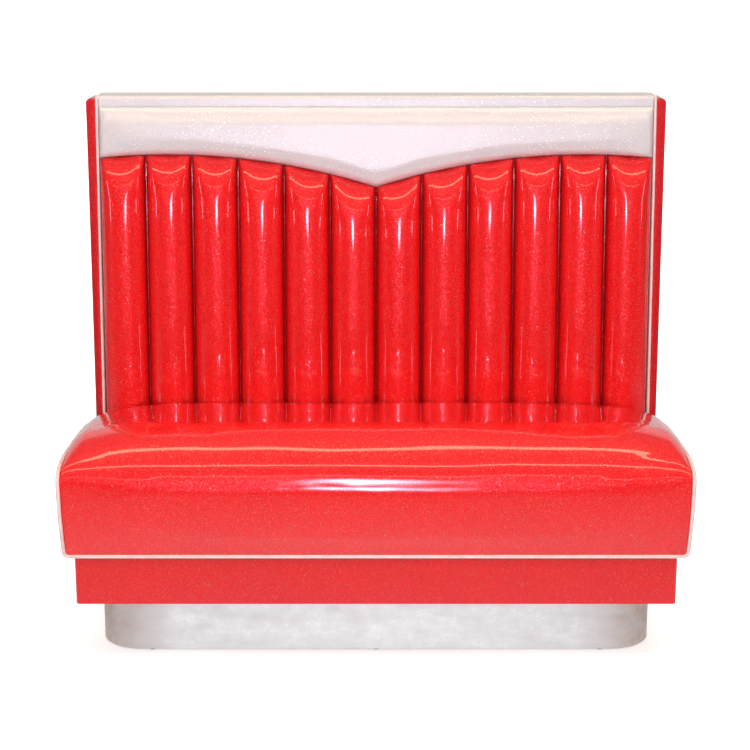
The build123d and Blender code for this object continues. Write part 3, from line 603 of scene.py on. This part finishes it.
def mottled(name, colour, other, grain, roughness, metallic=0.0):
    """A plain material with a fine mottle, a tenth as deep as its grain is wide."""
    made, tree = new_material(name)
    place = add_node(tree, "ShaderNodeTexCoord").outputs["Object"]
    mottle = add_node(
        tree, "ShaderNodeTexNoise", Vector=place, Scale=1 / grain, Detail=4.0,
    ).outputs["Fac"]
    tone = add_node(
        tree, "ShaderNodeMix", {"data_type": "RGBA"},
        i0=mottle, i6=linear(colour), i7=linear(other),
    ).outputs[2]
    bumps = add_node(
        tree, "ShaderNodeBump", Strength=bump_strength, Distance=grain / 10, Height=mottle,
    ).outputs[0]
    skin = add_node(
        tree, "ShaderNodeBsdfPrincipled",
        Base_Color=tone, Roughness=roughness, Metallic=metallic, Normal=bumps,
    )
    add_node(tree, "ShaderNodeOutputMaterial", Surface=skin.outputs[0])
    return made


finishes = {
    "red_vinyl": red_vinyl,
    "white_vinyl": white_vinyl,
    "piping_vinyl": welt_vinyl,
    "kick_metal": worn_metal,
    "plywood": grained_wood("plywood_birch_peeled", "d9b98a", "b98f5c", 0.030, (0.15, 1.0, 1.0)),
    "hardwood": grained_wood("beech_planed", "d2a878", "b5875a", 0.012, (0.12, 1.0, 1.0)),
    "hardboard": mottled("hardboard_pressed", "6b4426", "4e3019", 0.004, 0.7),
    "foam": mottled("foam_polyurethane_cut", "ead9a4", "d6c186", 0.003, 0.9),
    "webbing": mottled("webbing_elastic_woven", "3a332d", "211c19", 0.003, 0.85),
    "dust_cloth": mottled("cloth_nonwoven_black", "161616", "0a0a0a", 0.004, 0.9),
    "fastener_steel": mottled("steel_zinc_plated", "b9b9c0", "8f8f98", 0.006, 0.35, 1.0),
    "glide_plastic": mottled("nylon_moulded_black", "1c1c1c", "111111", 0.003, 0.5),
}
for part in frame["record"]["subparts"]:
    node = frame["nodes"][part["node"]]
    node.data.materials.clear()
    node.data.materials.append(finishes[part["material_slot"]])
print("finishes", sorted(finishes))

# %% [markdown]
# ## The lean of the back
# Everything on the back is measured from the front edges of the two wings, which lean back by
# just under five degrees. Two small functions give that edge and the V seam, and the upholstery
# is then written as so much forward of the edge, and so far below the seam.

# %% The wing edge and the V seam
recline = radians(4.77)
wing_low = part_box("wing_cover_right")[0]
panel_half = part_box("channel_back")[1].x
headrest_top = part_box("headrest_pad")[1].z
apex_height = 0.876
crest_height = 0.944
crest_reach = 0.440
pad_recess = 0.008
seam_gap = 0.0006


def wing_y(z):
    """Where the front edge of the wings stands at a height."""
    return wing_low.y + (z - wing_low.z) * tan(recline)


def forward_of_wing(x, distance, z):
    """A point so far square in front of the wings' edge, at a height."""
    return (x, wing_y(z) - distance / cos(recline), z)


def v_height(x):
    """The V seam: one arc each side of the middle, over a crest and down to the wings."""
    rise = crest_height - apex_height
    radius = (crest_reach**2 + rise**2) / (2 * rise)
    return crest_height - radius + (radius**2 - (abs(x) - crest_reach) ** 2) ** 0.5


print("V seam from", apex_height, "to", crest_height, "m")

# %% [markdown]
# ## The channelled back
# Twelve tubes of foam lie side by side under one sheet, sewn down between them. At the top the
# sheet rolls back over the ends of the tubes and under the headrest. The seams are narrower than
# the cells that a cloth simulation could run on, so the channels are sculpted, not inflated: one
# operator makes a flat grid, each vertex is then moved by the tubes' section and by the roll at
# the top, and the border is extruded back to the board to close the form. The columns of the
# grid crowd together at the seams, where the sheet turns sharply.

# %% Shape the channels
channel_count = 12
channel_columns = 18
channel_rows = 64
column_crowding = 0.85
valley = -0.004
valley_run = 0.02
reach_steps = [  # height, and how far forward the crests stand there
    (0.262, 0.027), (0.413, 0.0312), (0.50, 0.036), (0.60, 0.0405), (0.75, 0.0425), (0.95, 0.0425),
]
roll_steps = [  # distance below the V seam, and how many degrees the crest leans back there
    (0, 66), (0.008, 48), (0.020, 34), (0.036, 22.6), (0.060, 8.5),
    (0.085, 3.9), (0.113, 1.8), (0.145, -0.4), (0.190, -1.1), (0.240, 0),
]
droop = 0.014
section_power = 2.4
top_power = 5.0
fullness_power = 1.75
square_length = 0.085
seam_width_share = 0.22
seam_shade = 0.75
pucker = 0.0009
channel_ripples = (9, 7)
pad_bottom = 0.262
# how much painted shade darkens the whole apron, under the seat's nose
apron_painted_shade = 0.16


def stepped(steps, value):
    """A value read smoothly between the steps of a small table."""
    for (start, low), (end, high) in zip(steps, steps[1:]):
        if value <= end:
            share = max(0.0, (value - start) / (end - start))
            return mix(low, high, share * share * (3 - 2 * share))
    return steps[-1][1]


def rolled_back(below):
    """How far the crest has rolled back so far below the V seam, from the slopes in the table."""
    back = 0
    for (start, steep), (end, shallow) in zip(roll_steps, roll_steps[1:]):
        if below < end:
            from_here = max(start, below)
            slope = mix(steep, shallow, (from_here - start) / (end - start))
            back += (end - from_here) * tan(radians((slope + shallow) / 2))
    return back


def channel_side(x):
    """From 0 on a channel's crest to 1 in its seams."""
    across = (x / panel_half + 1) / 2 * channel_count
    return min(1.0, abs(2 * (across - int(min(across, channel_count - 1))) - 1))


def add_painted_shade(piece, shares):
    """Keep each vertex's share of painted shade, deepest in a seam, for the vinyl to darken."""
    layer = piece.data.attributes.new("crease", "FLOAT", "POINT")
    layer.data.foreach_set("value", shares)


def channel_forward(x, z):
    """How far the sheet stands forward at a place on the back."""
    side = channel_side(x)
    below = (v_height(x) - z) / cos(recline)
    squareness = mix(top_power, section_power, min(1.0, below / square_length))
    tube = (1 - side**squareness) ** (1 / fullness_power)
    crest = max(0.0, stepped(reach_steps, z) - rolled_back(below + droop * side * side))
    wave = pucker * ripple(x, z, channel_ripples, seed=1.5) * min(1.0, below / square_length)
    return mix(valley * min(1.0, below / valley_run), crest + wave, tube)


def close_pad(bm):
    """Extrude the border of a pad's face back to the board, and close it there."""
    for vertex in extrude_edges(bm, open_edges(bm))[0]:
        vertex.co = forward_of_wing(vertex.co.x, -pad_recess, vertex.co.z)
    bmesh.ops.edgeloop_fill(bm, edges=open_edges(bm))
    bmesh.ops.recalc_face_normals(bm, faces=bm.faces)


bm = bmesh.new()
bmesh.ops.create_grid(
    bm, x_segments=channel_count * channel_columns, y_segments=channel_rows, size=1.0,
)
for vertex in bm.verts:
    place = (vertex.co.x + 1) / 2 * channel_count
    channel = min(channel_count - 1, int(place + 1e-6))
    turned = (1 + sin((place - channel - 0.5) * pi)) / 2
    column = channel + mix(place - channel, turned, column_crowding)
    x = (column / channel_count * 2 - 1) * panel_half
    up = (vertex.co.y + 1) / 2
    z = mix(pad_bottom, v_height(x), 1 - (1 - up) ** 2)
    vertex.co = forward_of_wing(x, channel_forward(x, z), z)
close_pad(bm)
channels = keep_mesh(bm, "channel_cushion")
# Painted shade: the vinyl darkens toward each seam of the channels.
add_painted_shade(channels, [
    max(0.0, 1 - (1 - channel_side(vertex.co.x)) / seam_width_share) ** 2 * seam_shade
    for vertex in channels.data.vertices
])
apron = frame["nodes"]["apron_cover"]
# Painted shade: the apron lies under the seat's nose, so its vinyl is darkened evenly all over.
add_painted_shade(apron, [apron_painted_shade] * len(apron.data.vertices))
channels.data.materials.append(red_vinyl)
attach(channels, "base")
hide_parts("channel_back")

# %% [markdown]
# ## Letting a pad swell
# Foam pushes its cover out until the cloth is taut, so the middle of a pad stands fuller than its
# seams. A copy of the pad is remeshed evenly, pinned along its seams and blown up as cloth for
# twenty frames. Only the movement is kept: it is smoothed, capped and given to the neat grid, so
# that the seams stay as drawn.

# %% Swell a pad as cloth
swell_frames = 20
swell_neighbours = 24
stiffness = 40


def evaluated(thing):
    """An object with its modifiers worked out."""
    return thing.evaluated_get(bpy.context.evaluated_depsgraph_get())


def swell(piece, is_free, voxel, pressure, cap):
    """Blow up a copy of a pad as cloth, and move the pad's free points alike, up to a cap."""
    blown = piece.copy()
    blown.data = piece.data.copy()
    link(blown)
    evener = blown.modifiers.new("even", "REMESH")
    evener.mode = "VOXEL"
    evener.voxel_size = voxel
    even = bpy.data.meshes.new_from_object(evaluated(blown))
    blown.modifiers.clear()
    blown.data = even
    pinned = blown.vertex_groups.new(name="pinned")
    held = [vertex.index for vertex in even.vertices if not is_free(vertex.co)]
    pinned.add(held, 1.0, "REPLACE")
    cloth = blown.modifiers.new("cloth", "CLOTH")
    cloth.settings.vertex_group_mass = pinned.name
    cloth.settings.use_pressure = True
    cloth.settings.uniform_pressure_force = pressure
    cloth.settings.effector_weights.gravity = 0
    cloth.settings.tension_stiffness = stiffness
    cloth.settings.compression_stiffness = stiffness
    cloth.point_cache.frame_end = swell_frames
    for step in range(1, swell_frames + 1):
        bpy.context.scene.frame_set(step)
    ended = evaluated(blown).data
    moves = [end.co - start.co for start, end in zip(even.vertices, ended.vertices)]
    nearby = KDTree(len(moves))
    for vertex in even.vertices:
        nearby.insert(vertex.co, vertex.index)
    nearby.balance()
    furthest = 0
    for vertex in piece.data.vertices:
        if is_free(vertex.co):
            closest = nearby.find_n(vertex.co, swell_neighbours)
            move = sum((moves[index] for _, index, _ in closest), Vector()) / len(closest)
            vertex.co += move * min(1.0, cap / max(move.length, 1e-9))
            furthest = max(furthest, min(cap, move.length))
    bpy.data.objects.remove(blown)
    bpy.context.scene.frame_set(1)
    print(piece.name, "swelled up to", round(1000 * furthest, 1), "mm over", len(moves), "points")


# %% [markdown]
# ## The headrest
# The headrest is a long flat pad with a straight top and the V below. Its face is nearly flat and
# it turns back quickly at its edges, most softly at the top. It is made like the channels: a
# grid, an edge rounding for each side, and the border extruded back. It is one wide pad with no
# seam in its face, so it then swells as cloth, except along its border.

# %% Shape the headrest
headrest_columns = 160
headrest_rows = 26
headrest_crowding = 0.6
headrest_reach = 0.026
headrest_seam = 0.004
top_rounding = 0.030
bottom_rounding = 0.016
side_rounding = 0.020
headrest_ripples = (6, 11)
headrest_pinned = 0.012  # points nearer to the wings' edge than this don't swell


def rounding(distance, radius):
    """From 0 at an edge to 1 a radius away, as a quarter of a circle."""
    left = max(0.0, 1 - distance / radius)
    return (1 - left * left) ** 0.5


bm = bmesh.new()
bmesh.ops.create_grid(bm, x_segments=headrest_columns, y_segments=headrest_rows, size=1.0)
for vertex in bm.verts:
    turned = sin(vertex.co.x * pi / 2)
    x = mix(vertex.co.x, turned, headrest_crowding) * panel_half
    up = (sin(vertex.co.y * pi / 2) + 1) / 2
    bottom = v_height(x) + seam_gap
    z = mix(bottom, headrest_top, up)
    full = rounding(headrest_top - z, top_rounding) * rounding(z - bottom, bottom_rounding)
    full *= rounding(panel_half - abs(x), side_rounding)
    wave = pucker * ripple(x, z, headrest_ripples, seed=7.5)
    forward = headrest_seam + (headrest_reach - headrest_seam) * full + wave * full
    vertex.co = forward_of_wing(x, forward, z)
close_pad(bm)
headrest = keep_mesh(bm, "headrest_cushion")
swell(
    headrest, lambda place: wing_y(place.z) - place.y > headrest_pinned,
    voxel=0.006, pressure=4.0, cap=0.004,
)
headrest.data.materials.append(white_vinyl)
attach(headrest, "base")
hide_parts("headrest_pad")

# %% [markdown]
# ## The cap
# A padded strip of the silver vinyl runs along the top between the wings. Its front edge is a
# soft round over the headrest's seam, and its top is flat. Its section is drawn with four
# vertices and extruded from wing to wing, and a bevel then rounds the two long upper edges.

# %% Shape the cap
cap_low, cap_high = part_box("top_cap")
cap_rounding = 0.009
cap_side_gap = 0.0008
sharp_angle = radians(40)

bm = bmesh.new()
section = [
    (cap_low.y, cap_low.z), (cap_high.y, cap_low.z),
    (cap_high.y, cap_high.z), (cap_low.y, cap_high.z),
]
corners = [bm.verts.new((cap_low.x + cap_side_gap, y, z)) for y, z in section]
end_face = bm.faces.new(corners)
grown = bmesh.ops.extrude_face_region(bm, geom=[end_face])["geom"]
moved = [item for item in grown if isinstance(item, bmesh.types.BMVert)]
bmesh.ops.translate(bm, vec=(cap_high.x - cap_low.x - 2 * cap_side_gap, 0, 0), verts=moved)
bmesh.ops.recalc_face_normals(bm, faces=bm.faces)
long_edges = [
    edge for edge in bm.edges
    if abs(edge.verts[0].co.x - edge.verts[1].co.x) > cap_side_gap
    and edge.verts[0].co.z > cap_low.z + cap_rounding
]
bmesh.ops.bevel(
    bm, geom=long_edges, offset=cap_rounding, offset_type="OFFSET", affect="EDGES",
    segments=8, profile=0.5, material=-1,
)
cap = keep_mesh(bm, "cap_cushion")
cap.data.set_sharp_from_angle(angle=sharp_angle)
cap.data.materials.append(white_vinyl)
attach(cap, "base")
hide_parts("top_cap")

# %% [markdown]
# ## The wings
# The end boards are padded and wrapped, so their front edges are round, not sharp. The solid of
# each cover already has the board's outline. A copy of its mesh is merged, and a bevel rounds the
# long front edges, which is quicker and truer than drawing the outline again. The wrap is a
# little fuller toward the top. Its colour carries painted shade: a little over the whole wrap,
# and more along its outer edge, where it turns from the light.

# %% Round the wings' front edges
wing_rounding = 0.008
wing_fullness = 0.006
wing_shade, edge_shade = 0.2, 0.6
edge_length = 0.5  # the long front edges are longer than this
on_edge = 1e-4
touching = 1e-5
for side in ("left", "right"):
    bm = bmesh.new()
    bm.from_mesh(frame["nodes"][f"wing_cover_{side}"].data)
    bmesh.ops.remove_doubles(bm, verts=bm.verts, dist=touching)
    bmesh.ops.dissolve_limit(bm, angle_limit=radians(1), verts=bm.verts, edges=bm.edges)
    front = [
        edge for edge in bm.edges
        if all(abs(end.co.y - wing_y(end.co.z)) < on_edge for end in edge.verts)
        and edge.calc_length() > edge_length and edge.calc_face_angle(0) > 1
    ]
    bmesh.ops.bevel(
        bm, geom=front, offset=wing_rounding, offset_type="OFFSET", affect="EDGES",
        segments=6, profile=0.5, material=-1,
    )
    low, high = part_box(f"wing_cover_{side}")
    outer = low.x if side == "left" else high.x
    for vertex in bm.verts:
        if abs(vertex.co.x - outer) < wing_rounding:
            share = max(0.0, (vertex.co.z - low.z) / (high.z - low.z))
            vertex.co.x += wing_fullness * share * (1 if outer > 0 else -1)
    print("front edges", len(front))
    wing = keep_mesh(bm, f"wing_wrap_{side}")
    wing.data.set_sharp_from_angle(angle=sharp_angle)
    thickness = high.x - low.x
    # Painted shade: a little over the whole wrap, most along its outer edge.
    add_painted_shade(wing, [
        wing_shade + edge_shade * max(0.0, 1 - abs(vertex.co.x - outer) / thickness) ** 2
        for vertex in wing.data.vertices
    ])
    wing.data.materials.clear()
    wing.data.materials.append(red_vinyl)
    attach(wing, "base")
    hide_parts(f"wing_cover_{side}")

# %% [markdown]
# ## The seat
# The seat is a thick foam block under one sheet that runs up the front, over a round nose and
# back to the channels. Its ends are separate panels, and the piping sits in the seam between.
# The sheet is crowned: low and tight at the piping, high in the middle, and its rear corners
# turn in toward the wings. The section is a chain of arcs, written for the side and for the
# middle, and every column of the grid takes a mix of the two.

# %% The section of the seat
cover_low, cover_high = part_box("seat_cover")
seat_half = cover_high.x
seat_nest = 0.005  # how far the sheet lies inside the end panels
nest_half = seat_half - seat_nest
seat_bottom = cover_low.z
foot_y = -0.2758
foot_lean = radians(21.8)
foot_run = 0.025
nose_y = cover_low.y
rear_clearance = 0.0326
crown_power = 8
corner_start = 0.02
corner_turn = 0.024
sag = 0.0022
sag_start = 0.05
seat_ripples = (4.5, 9)  # the first to the half width, as it follows the columns
side_shape = {
    "nose_radius": 0.025, "nose_rise": 0.1565, "nose_slope": radians(12.0),
    "crown_radius": 0.350, "rake": radians(2.0), "rear_rise": 0.162,
}
middle_shape = {
    "nose_radius": 0.062, "nose_rise": 0.148, "nose_slope": radians(40.0),
    "crown_radius": 0.170, "rake": radians(6.5), "rear_rise": 0.1955,
}
front_rows = 16
nose_rows = 14
crown_rows = 20
top_rows = 24
rear_rows = 4
seat_columns = 120


def on_arc(start, end, angle, share):
    """A point on the arc that leaves its start at an angle and reaches its end."""
    chord = atan2(end[1] - start[1], end[0] - start[0])
    bend = angle - chord
    length = ((end[0] - start[0]) ** 2 + (end[1] - start[1]) ** 2) ** 0.5
    if abs(bend) < 1e-6:
        return (mix(start[0], end[0], share), mix(start[1], end[1], share))
    radius = length / (2 * sin(bend))
    turned = angle - 2 * bend * share
    return (
        start[0] + radius * (sin(angle) - sin(turned)),
        start[1] - radius * (cos(angle) - cos(turned)),
    )


def seat_section(crown):
    """The seat's outline from foot to rear foot, as points in y and z, for a crown share."""
    shape = {key: mix(side_shape[key], middle_shape[key], crown) for key in side_shape}
    foot = (foot_y, seat_bottom)
    knee = (foot_y - foot_run * sin(foot_lean), seat_bottom + foot_run * cos(foot_lean))
    nose = (nose_y, seat_bottom + shape["nose_rise"])
    lean = atan2(nose[1] - knee[1], nose[0] - knee[0])
    nose_turn = 2 * lean - (pi / 2 + foot_lean)
    slope = shape["nose_slope"]
    brow = (
        nose[0] + shape["nose_radius"] * (sin(nose_turn) - sin(slope)),
        nose[1] - shape["nose_radius"] * (cos(nose_turn) - cos(slope)),
    )
    ridge = (
        brow[0] + shape["crown_radius"] * (sin(slope) + sin(shape["rake"])),
        brow[1] + shape["crown_radius"] * (cos(shape["rake"]) - cos(slope)),
    )
    heel_z = seat_bottom + shape["rear_rise"]
    heel = (wing_y(heel_z) - rear_clearance / cos(recline), heel_z)
    rear_foot = (wing_y(seat_bottom) - rear_clearance / cos(recline), seat_bottom)
    arcs = [
        (knee, nose, pi / 2 + foot_lean, front_rows), (nose, brow, nose_turn, nose_rows),
        (brow, ridge, slope, crown_rows), (ridge, heel, -shape["rake"], top_rows),
    ]
    points = [foot]
    for start, end, angle, rows in arcs:
        points += [on_arc(start, end, angle, row / rows) for row in range(rows)]
    points += [
        (mix(heel[0], rear_foot[0], row / rear_rows), mix(heel[1], rear_foot[1], row / rear_rows))
        for row in range(rear_rows + 1)
    ]
    return points


def corner_inset(y):
    """How far the ends of the seat turn in toward the wings, near its rear corners."""
    rear = wing_y(seat_bottom) - rear_clearance
    share = max(0.0, (y - corner_start) / (rear - corner_start))
    return corner_turn * share * share


section_rows = len(seat_section(0)) - 1
print("section", section_rows, "rows, middle top", round(max(z for y, z in seat_section(1)), 3))

# %% [markdown]
# ### Wrapping the seat
# A grid is bent round the section, column by column. Each side edge is extruded outward and down
# to make the end panel as upright strips. The open border below is then turned in as a hem and
# extruded up, which leaves a pocket for the wooden frame. Last, the sheet swells as cloth,
# except near the piping, the channels and the foot.

# %% Wrap the sheet, close the ends and make the pocket
frame_low, frame_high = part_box("seat_front_rail")
rail_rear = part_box("seat_rear_rail")[1].y
pocket_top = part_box("seat_webbing_along")[1].z
hem = 0.020
sheet_thickness = 0.0012
pocket_gap = 0.0006
strip_merge = 1e-4
seat_sharp_angle = radians(50)
free_height, free_inset, free_rear = 0.03, 0.03, 0.12  # where the sheet may swell

bm = bmesh.new()
bmesh.ops.create_grid(bm, x_segments=seat_columns, y_segments=section_rows, size=1.0)
side_edges = {
    side: [edge for edge in bm.edges if all(side * end.co.x > 1 - touching for end in edge.verts)]
    for side in (-1, 1)
}
for vertex in bm.verts:
    across = sin(vertex.co.x * pi / 2)
    row = round((vertex.co.y + 1) / 2 * section_rows)
    crown = (1 - abs(across) ** crown_power) ** 0.5
    y, z = seat_section(crown)[row]
    if z > seat_bottom + sag_start:
        z += sag * ripple(across, y, seat_ripples, seed=3.5) * crown
    vertex.co = (across * (nest_half - corner_inset(y)), y, z)

for side, rim in side_edges.items():
    middle = sum((edge.verts[0].co for edge in rim), Vector()) / len(rim)
    rim_verts, rim_edges = extrude_edges(bm, rim)
    for vertex in rim_verts:
        inward = Vector((0, middle.y - vertex.co.y, middle.z - vertex.co.z)).normalized()
        low = vertex.co.z < seat_bottom + touching
        vertex.co += inward * seat_nest
        vertex.co.x = side * (seat_half - corner_inset(vertex.co.y))
        if low:
            vertex.co.z = seat_bottom
    ring = [edge for edge in rim_edges if edge.is_boundary]
    ring_verts = list({end for edge in ring for end in edge.verts})
    low_ends = sorted(end.co.y for end in ring_verts if end.co.z < seat_bottom + touching)
    sill = extrude_edges(bm, ring)[0]
    for vertex in sill:
        vertex.co.y = max(low_ends[0], min(low_ends[-1], vertex.co.y))
        vertex.co.z = seat_bottom
        vertex.co.x = side * (seat_half - corner_inset(vertex.co.y))
    bmesh.ops.remove_doubles(bm, verts=ring_verts + sill, dist=strip_merge)

hem_verts = extrude_edges(bm, open_edges(bm))[0]
for vertex in hem_verts:
    vertex.co.x = max(frame_low.x + hem, min(frame_high.x - hem, vertex.co.x))
    vertex.co.y = max(frame_low.y + hem, min(rail_rear - hem, vertex.co.y))
bmesh.ops.remove_doubles(bm, verts=hem_verts, dist=touching)
wall_verts = extrude_edges(bm, open_edges(bm))[0]
bmesh.ops.translate(bm, vec=(0, 0, sheet_thickness), verts=wall_verts)
for vertex in extrude_edges(bm, open_edges(bm))[0]:
    vertex.co.x += pocket_gap + hem if vertex.co.x > 0 else -pocket_gap - hem
    vertex.co.x = max(frame_low.x - pocket_gap, min(frame_high.x + pocket_gap, vertex.co.x))
    back = vertex.co.y > (frame_low.y + rail_rear) / 2
    vertex.co.y += pocket_gap + hem if back else -pocket_gap - hem
    vertex.co.y = max(frame_low.y - pocket_gap, min(rail_rear + pocket_gap, vertex.co.y))
rim_verts = list({end for edge in open_edges(bm) for end in edge.verts})
bmesh.ops.remove_doubles(bm, verts=rim_verts, dist=touching)
for vertex in extrude_edges(bm, open_edges(bm))[0]:
    vertex.co.z = pocket_top + pocket_gap
bmesh.ops.edgeloop_fill(bm, edges=open_edges(bm))
bmesh.ops.recalc_face_normals(bm, faces=bm.faces)
loose = [edge for edge in bm.edges if len(edge.link_faces) != 2]
print("open or loose edges", len(loose))
seat = keep_mesh(bm, "seat_cushion")
seat.data.set_sharp_from_angle(angle=seat_sharp_angle)


def sheet_is_free(place):
    """Whether a place on the seat is away from its piping, its foot and the channels."""
    inside = abs(place.x) < nest_half - free_inset
    return place.z > seat_bottom + free_height and inside and place.y < free_rear


swell(seat, sheet_is_free, voxel=0.008, pressure=3.0, cap=0.003)
seat.data.materials.append(red_vinyl)
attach(seat, "seat")
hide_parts("seat_cover", "seat_foam")

# %% [markdown]
# ## The seat's welt
# One length of piping is sewn into the seam between the sheet and the end panels. It starts in
# the crease at one wing's foot, runs forward along the top of the end, down over the nose, round
# the bottom corner and along the front's foot, and back the same way. A curve with a round bevel
# follows that seam, worked out from the same section as the sheet, and is then made a mesh.

# %% Run the welt round the seat
welt_radius = 0.004
welt_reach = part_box("seat_piping_front")[1].x - welt_radius
welt_corner = 0.010
corner_steps = 8
tuck = 0.020  # how far its ends run back into the crease
tuck_inward, tuck_upward = 0.3, 0.1


def welt_side(side):
    """The seam of one end, from the crease at the wing to the bottom corner."""
    sheet = seat_section(0)[1:1 + front_rows + nose_rows + crown_rows + top_rows + 1]
    points = [(side * (welt_reach - corner_inset(y)), y, z) for y, z in reversed(sheet)]
    x, y, z = points[0]
    crease = (x - side * tuck_inward * tuck, y + tuck, z + tuck_upward * tuck)
    up = Vector((0, -sin(foot_lean), cos(foot_lean)))
    along = Vector((-side, 0, 0))
    middle = Vector((side * welt_reach, foot_y, seat_bottom)) + welt_corner * (up + along)
    turns = [step / corner_steps * pi / 2 for step in range(corner_steps + 1)]
    corner = [middle - welt_corner * (along * cos(turn) + up * sin(turn)) for turn in turns]
    return [crease, *points, *corner]


def make_welt(name, points, radius):
    """A round cord through a chain of points, as a mesh."""
    cord = bpy.data.curves.new(name, "CURVE")
    cord.dimensions = "3D"
    cord.bevel_depth = radius
    cord.bevel_resolution = 4
    cord.use_fill_caps = True
    chain = cord.splines.new("POLY")
    chain.points.add(len(points) - 1)
    for knot, point in zip(chain.points, points):
        knot.co = (*point, 1)
    holder = link(bpy.data.objects.new(name, cord))
    mesh = bpy.data.meshes.new_from_object(evaluated(holder))
    bpy.data.objects.remove(holder)
    return place_mesh(mesh, name)


welt = make_welt("seat_welt", welt_side(-1) + welt_side(1)[::-1], welt_radius)
welt.data.materials.append(welt_vinyl)
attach(welt, "seat")
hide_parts("seat_piping_left", "seat_piping_right", "seat_piping_front")
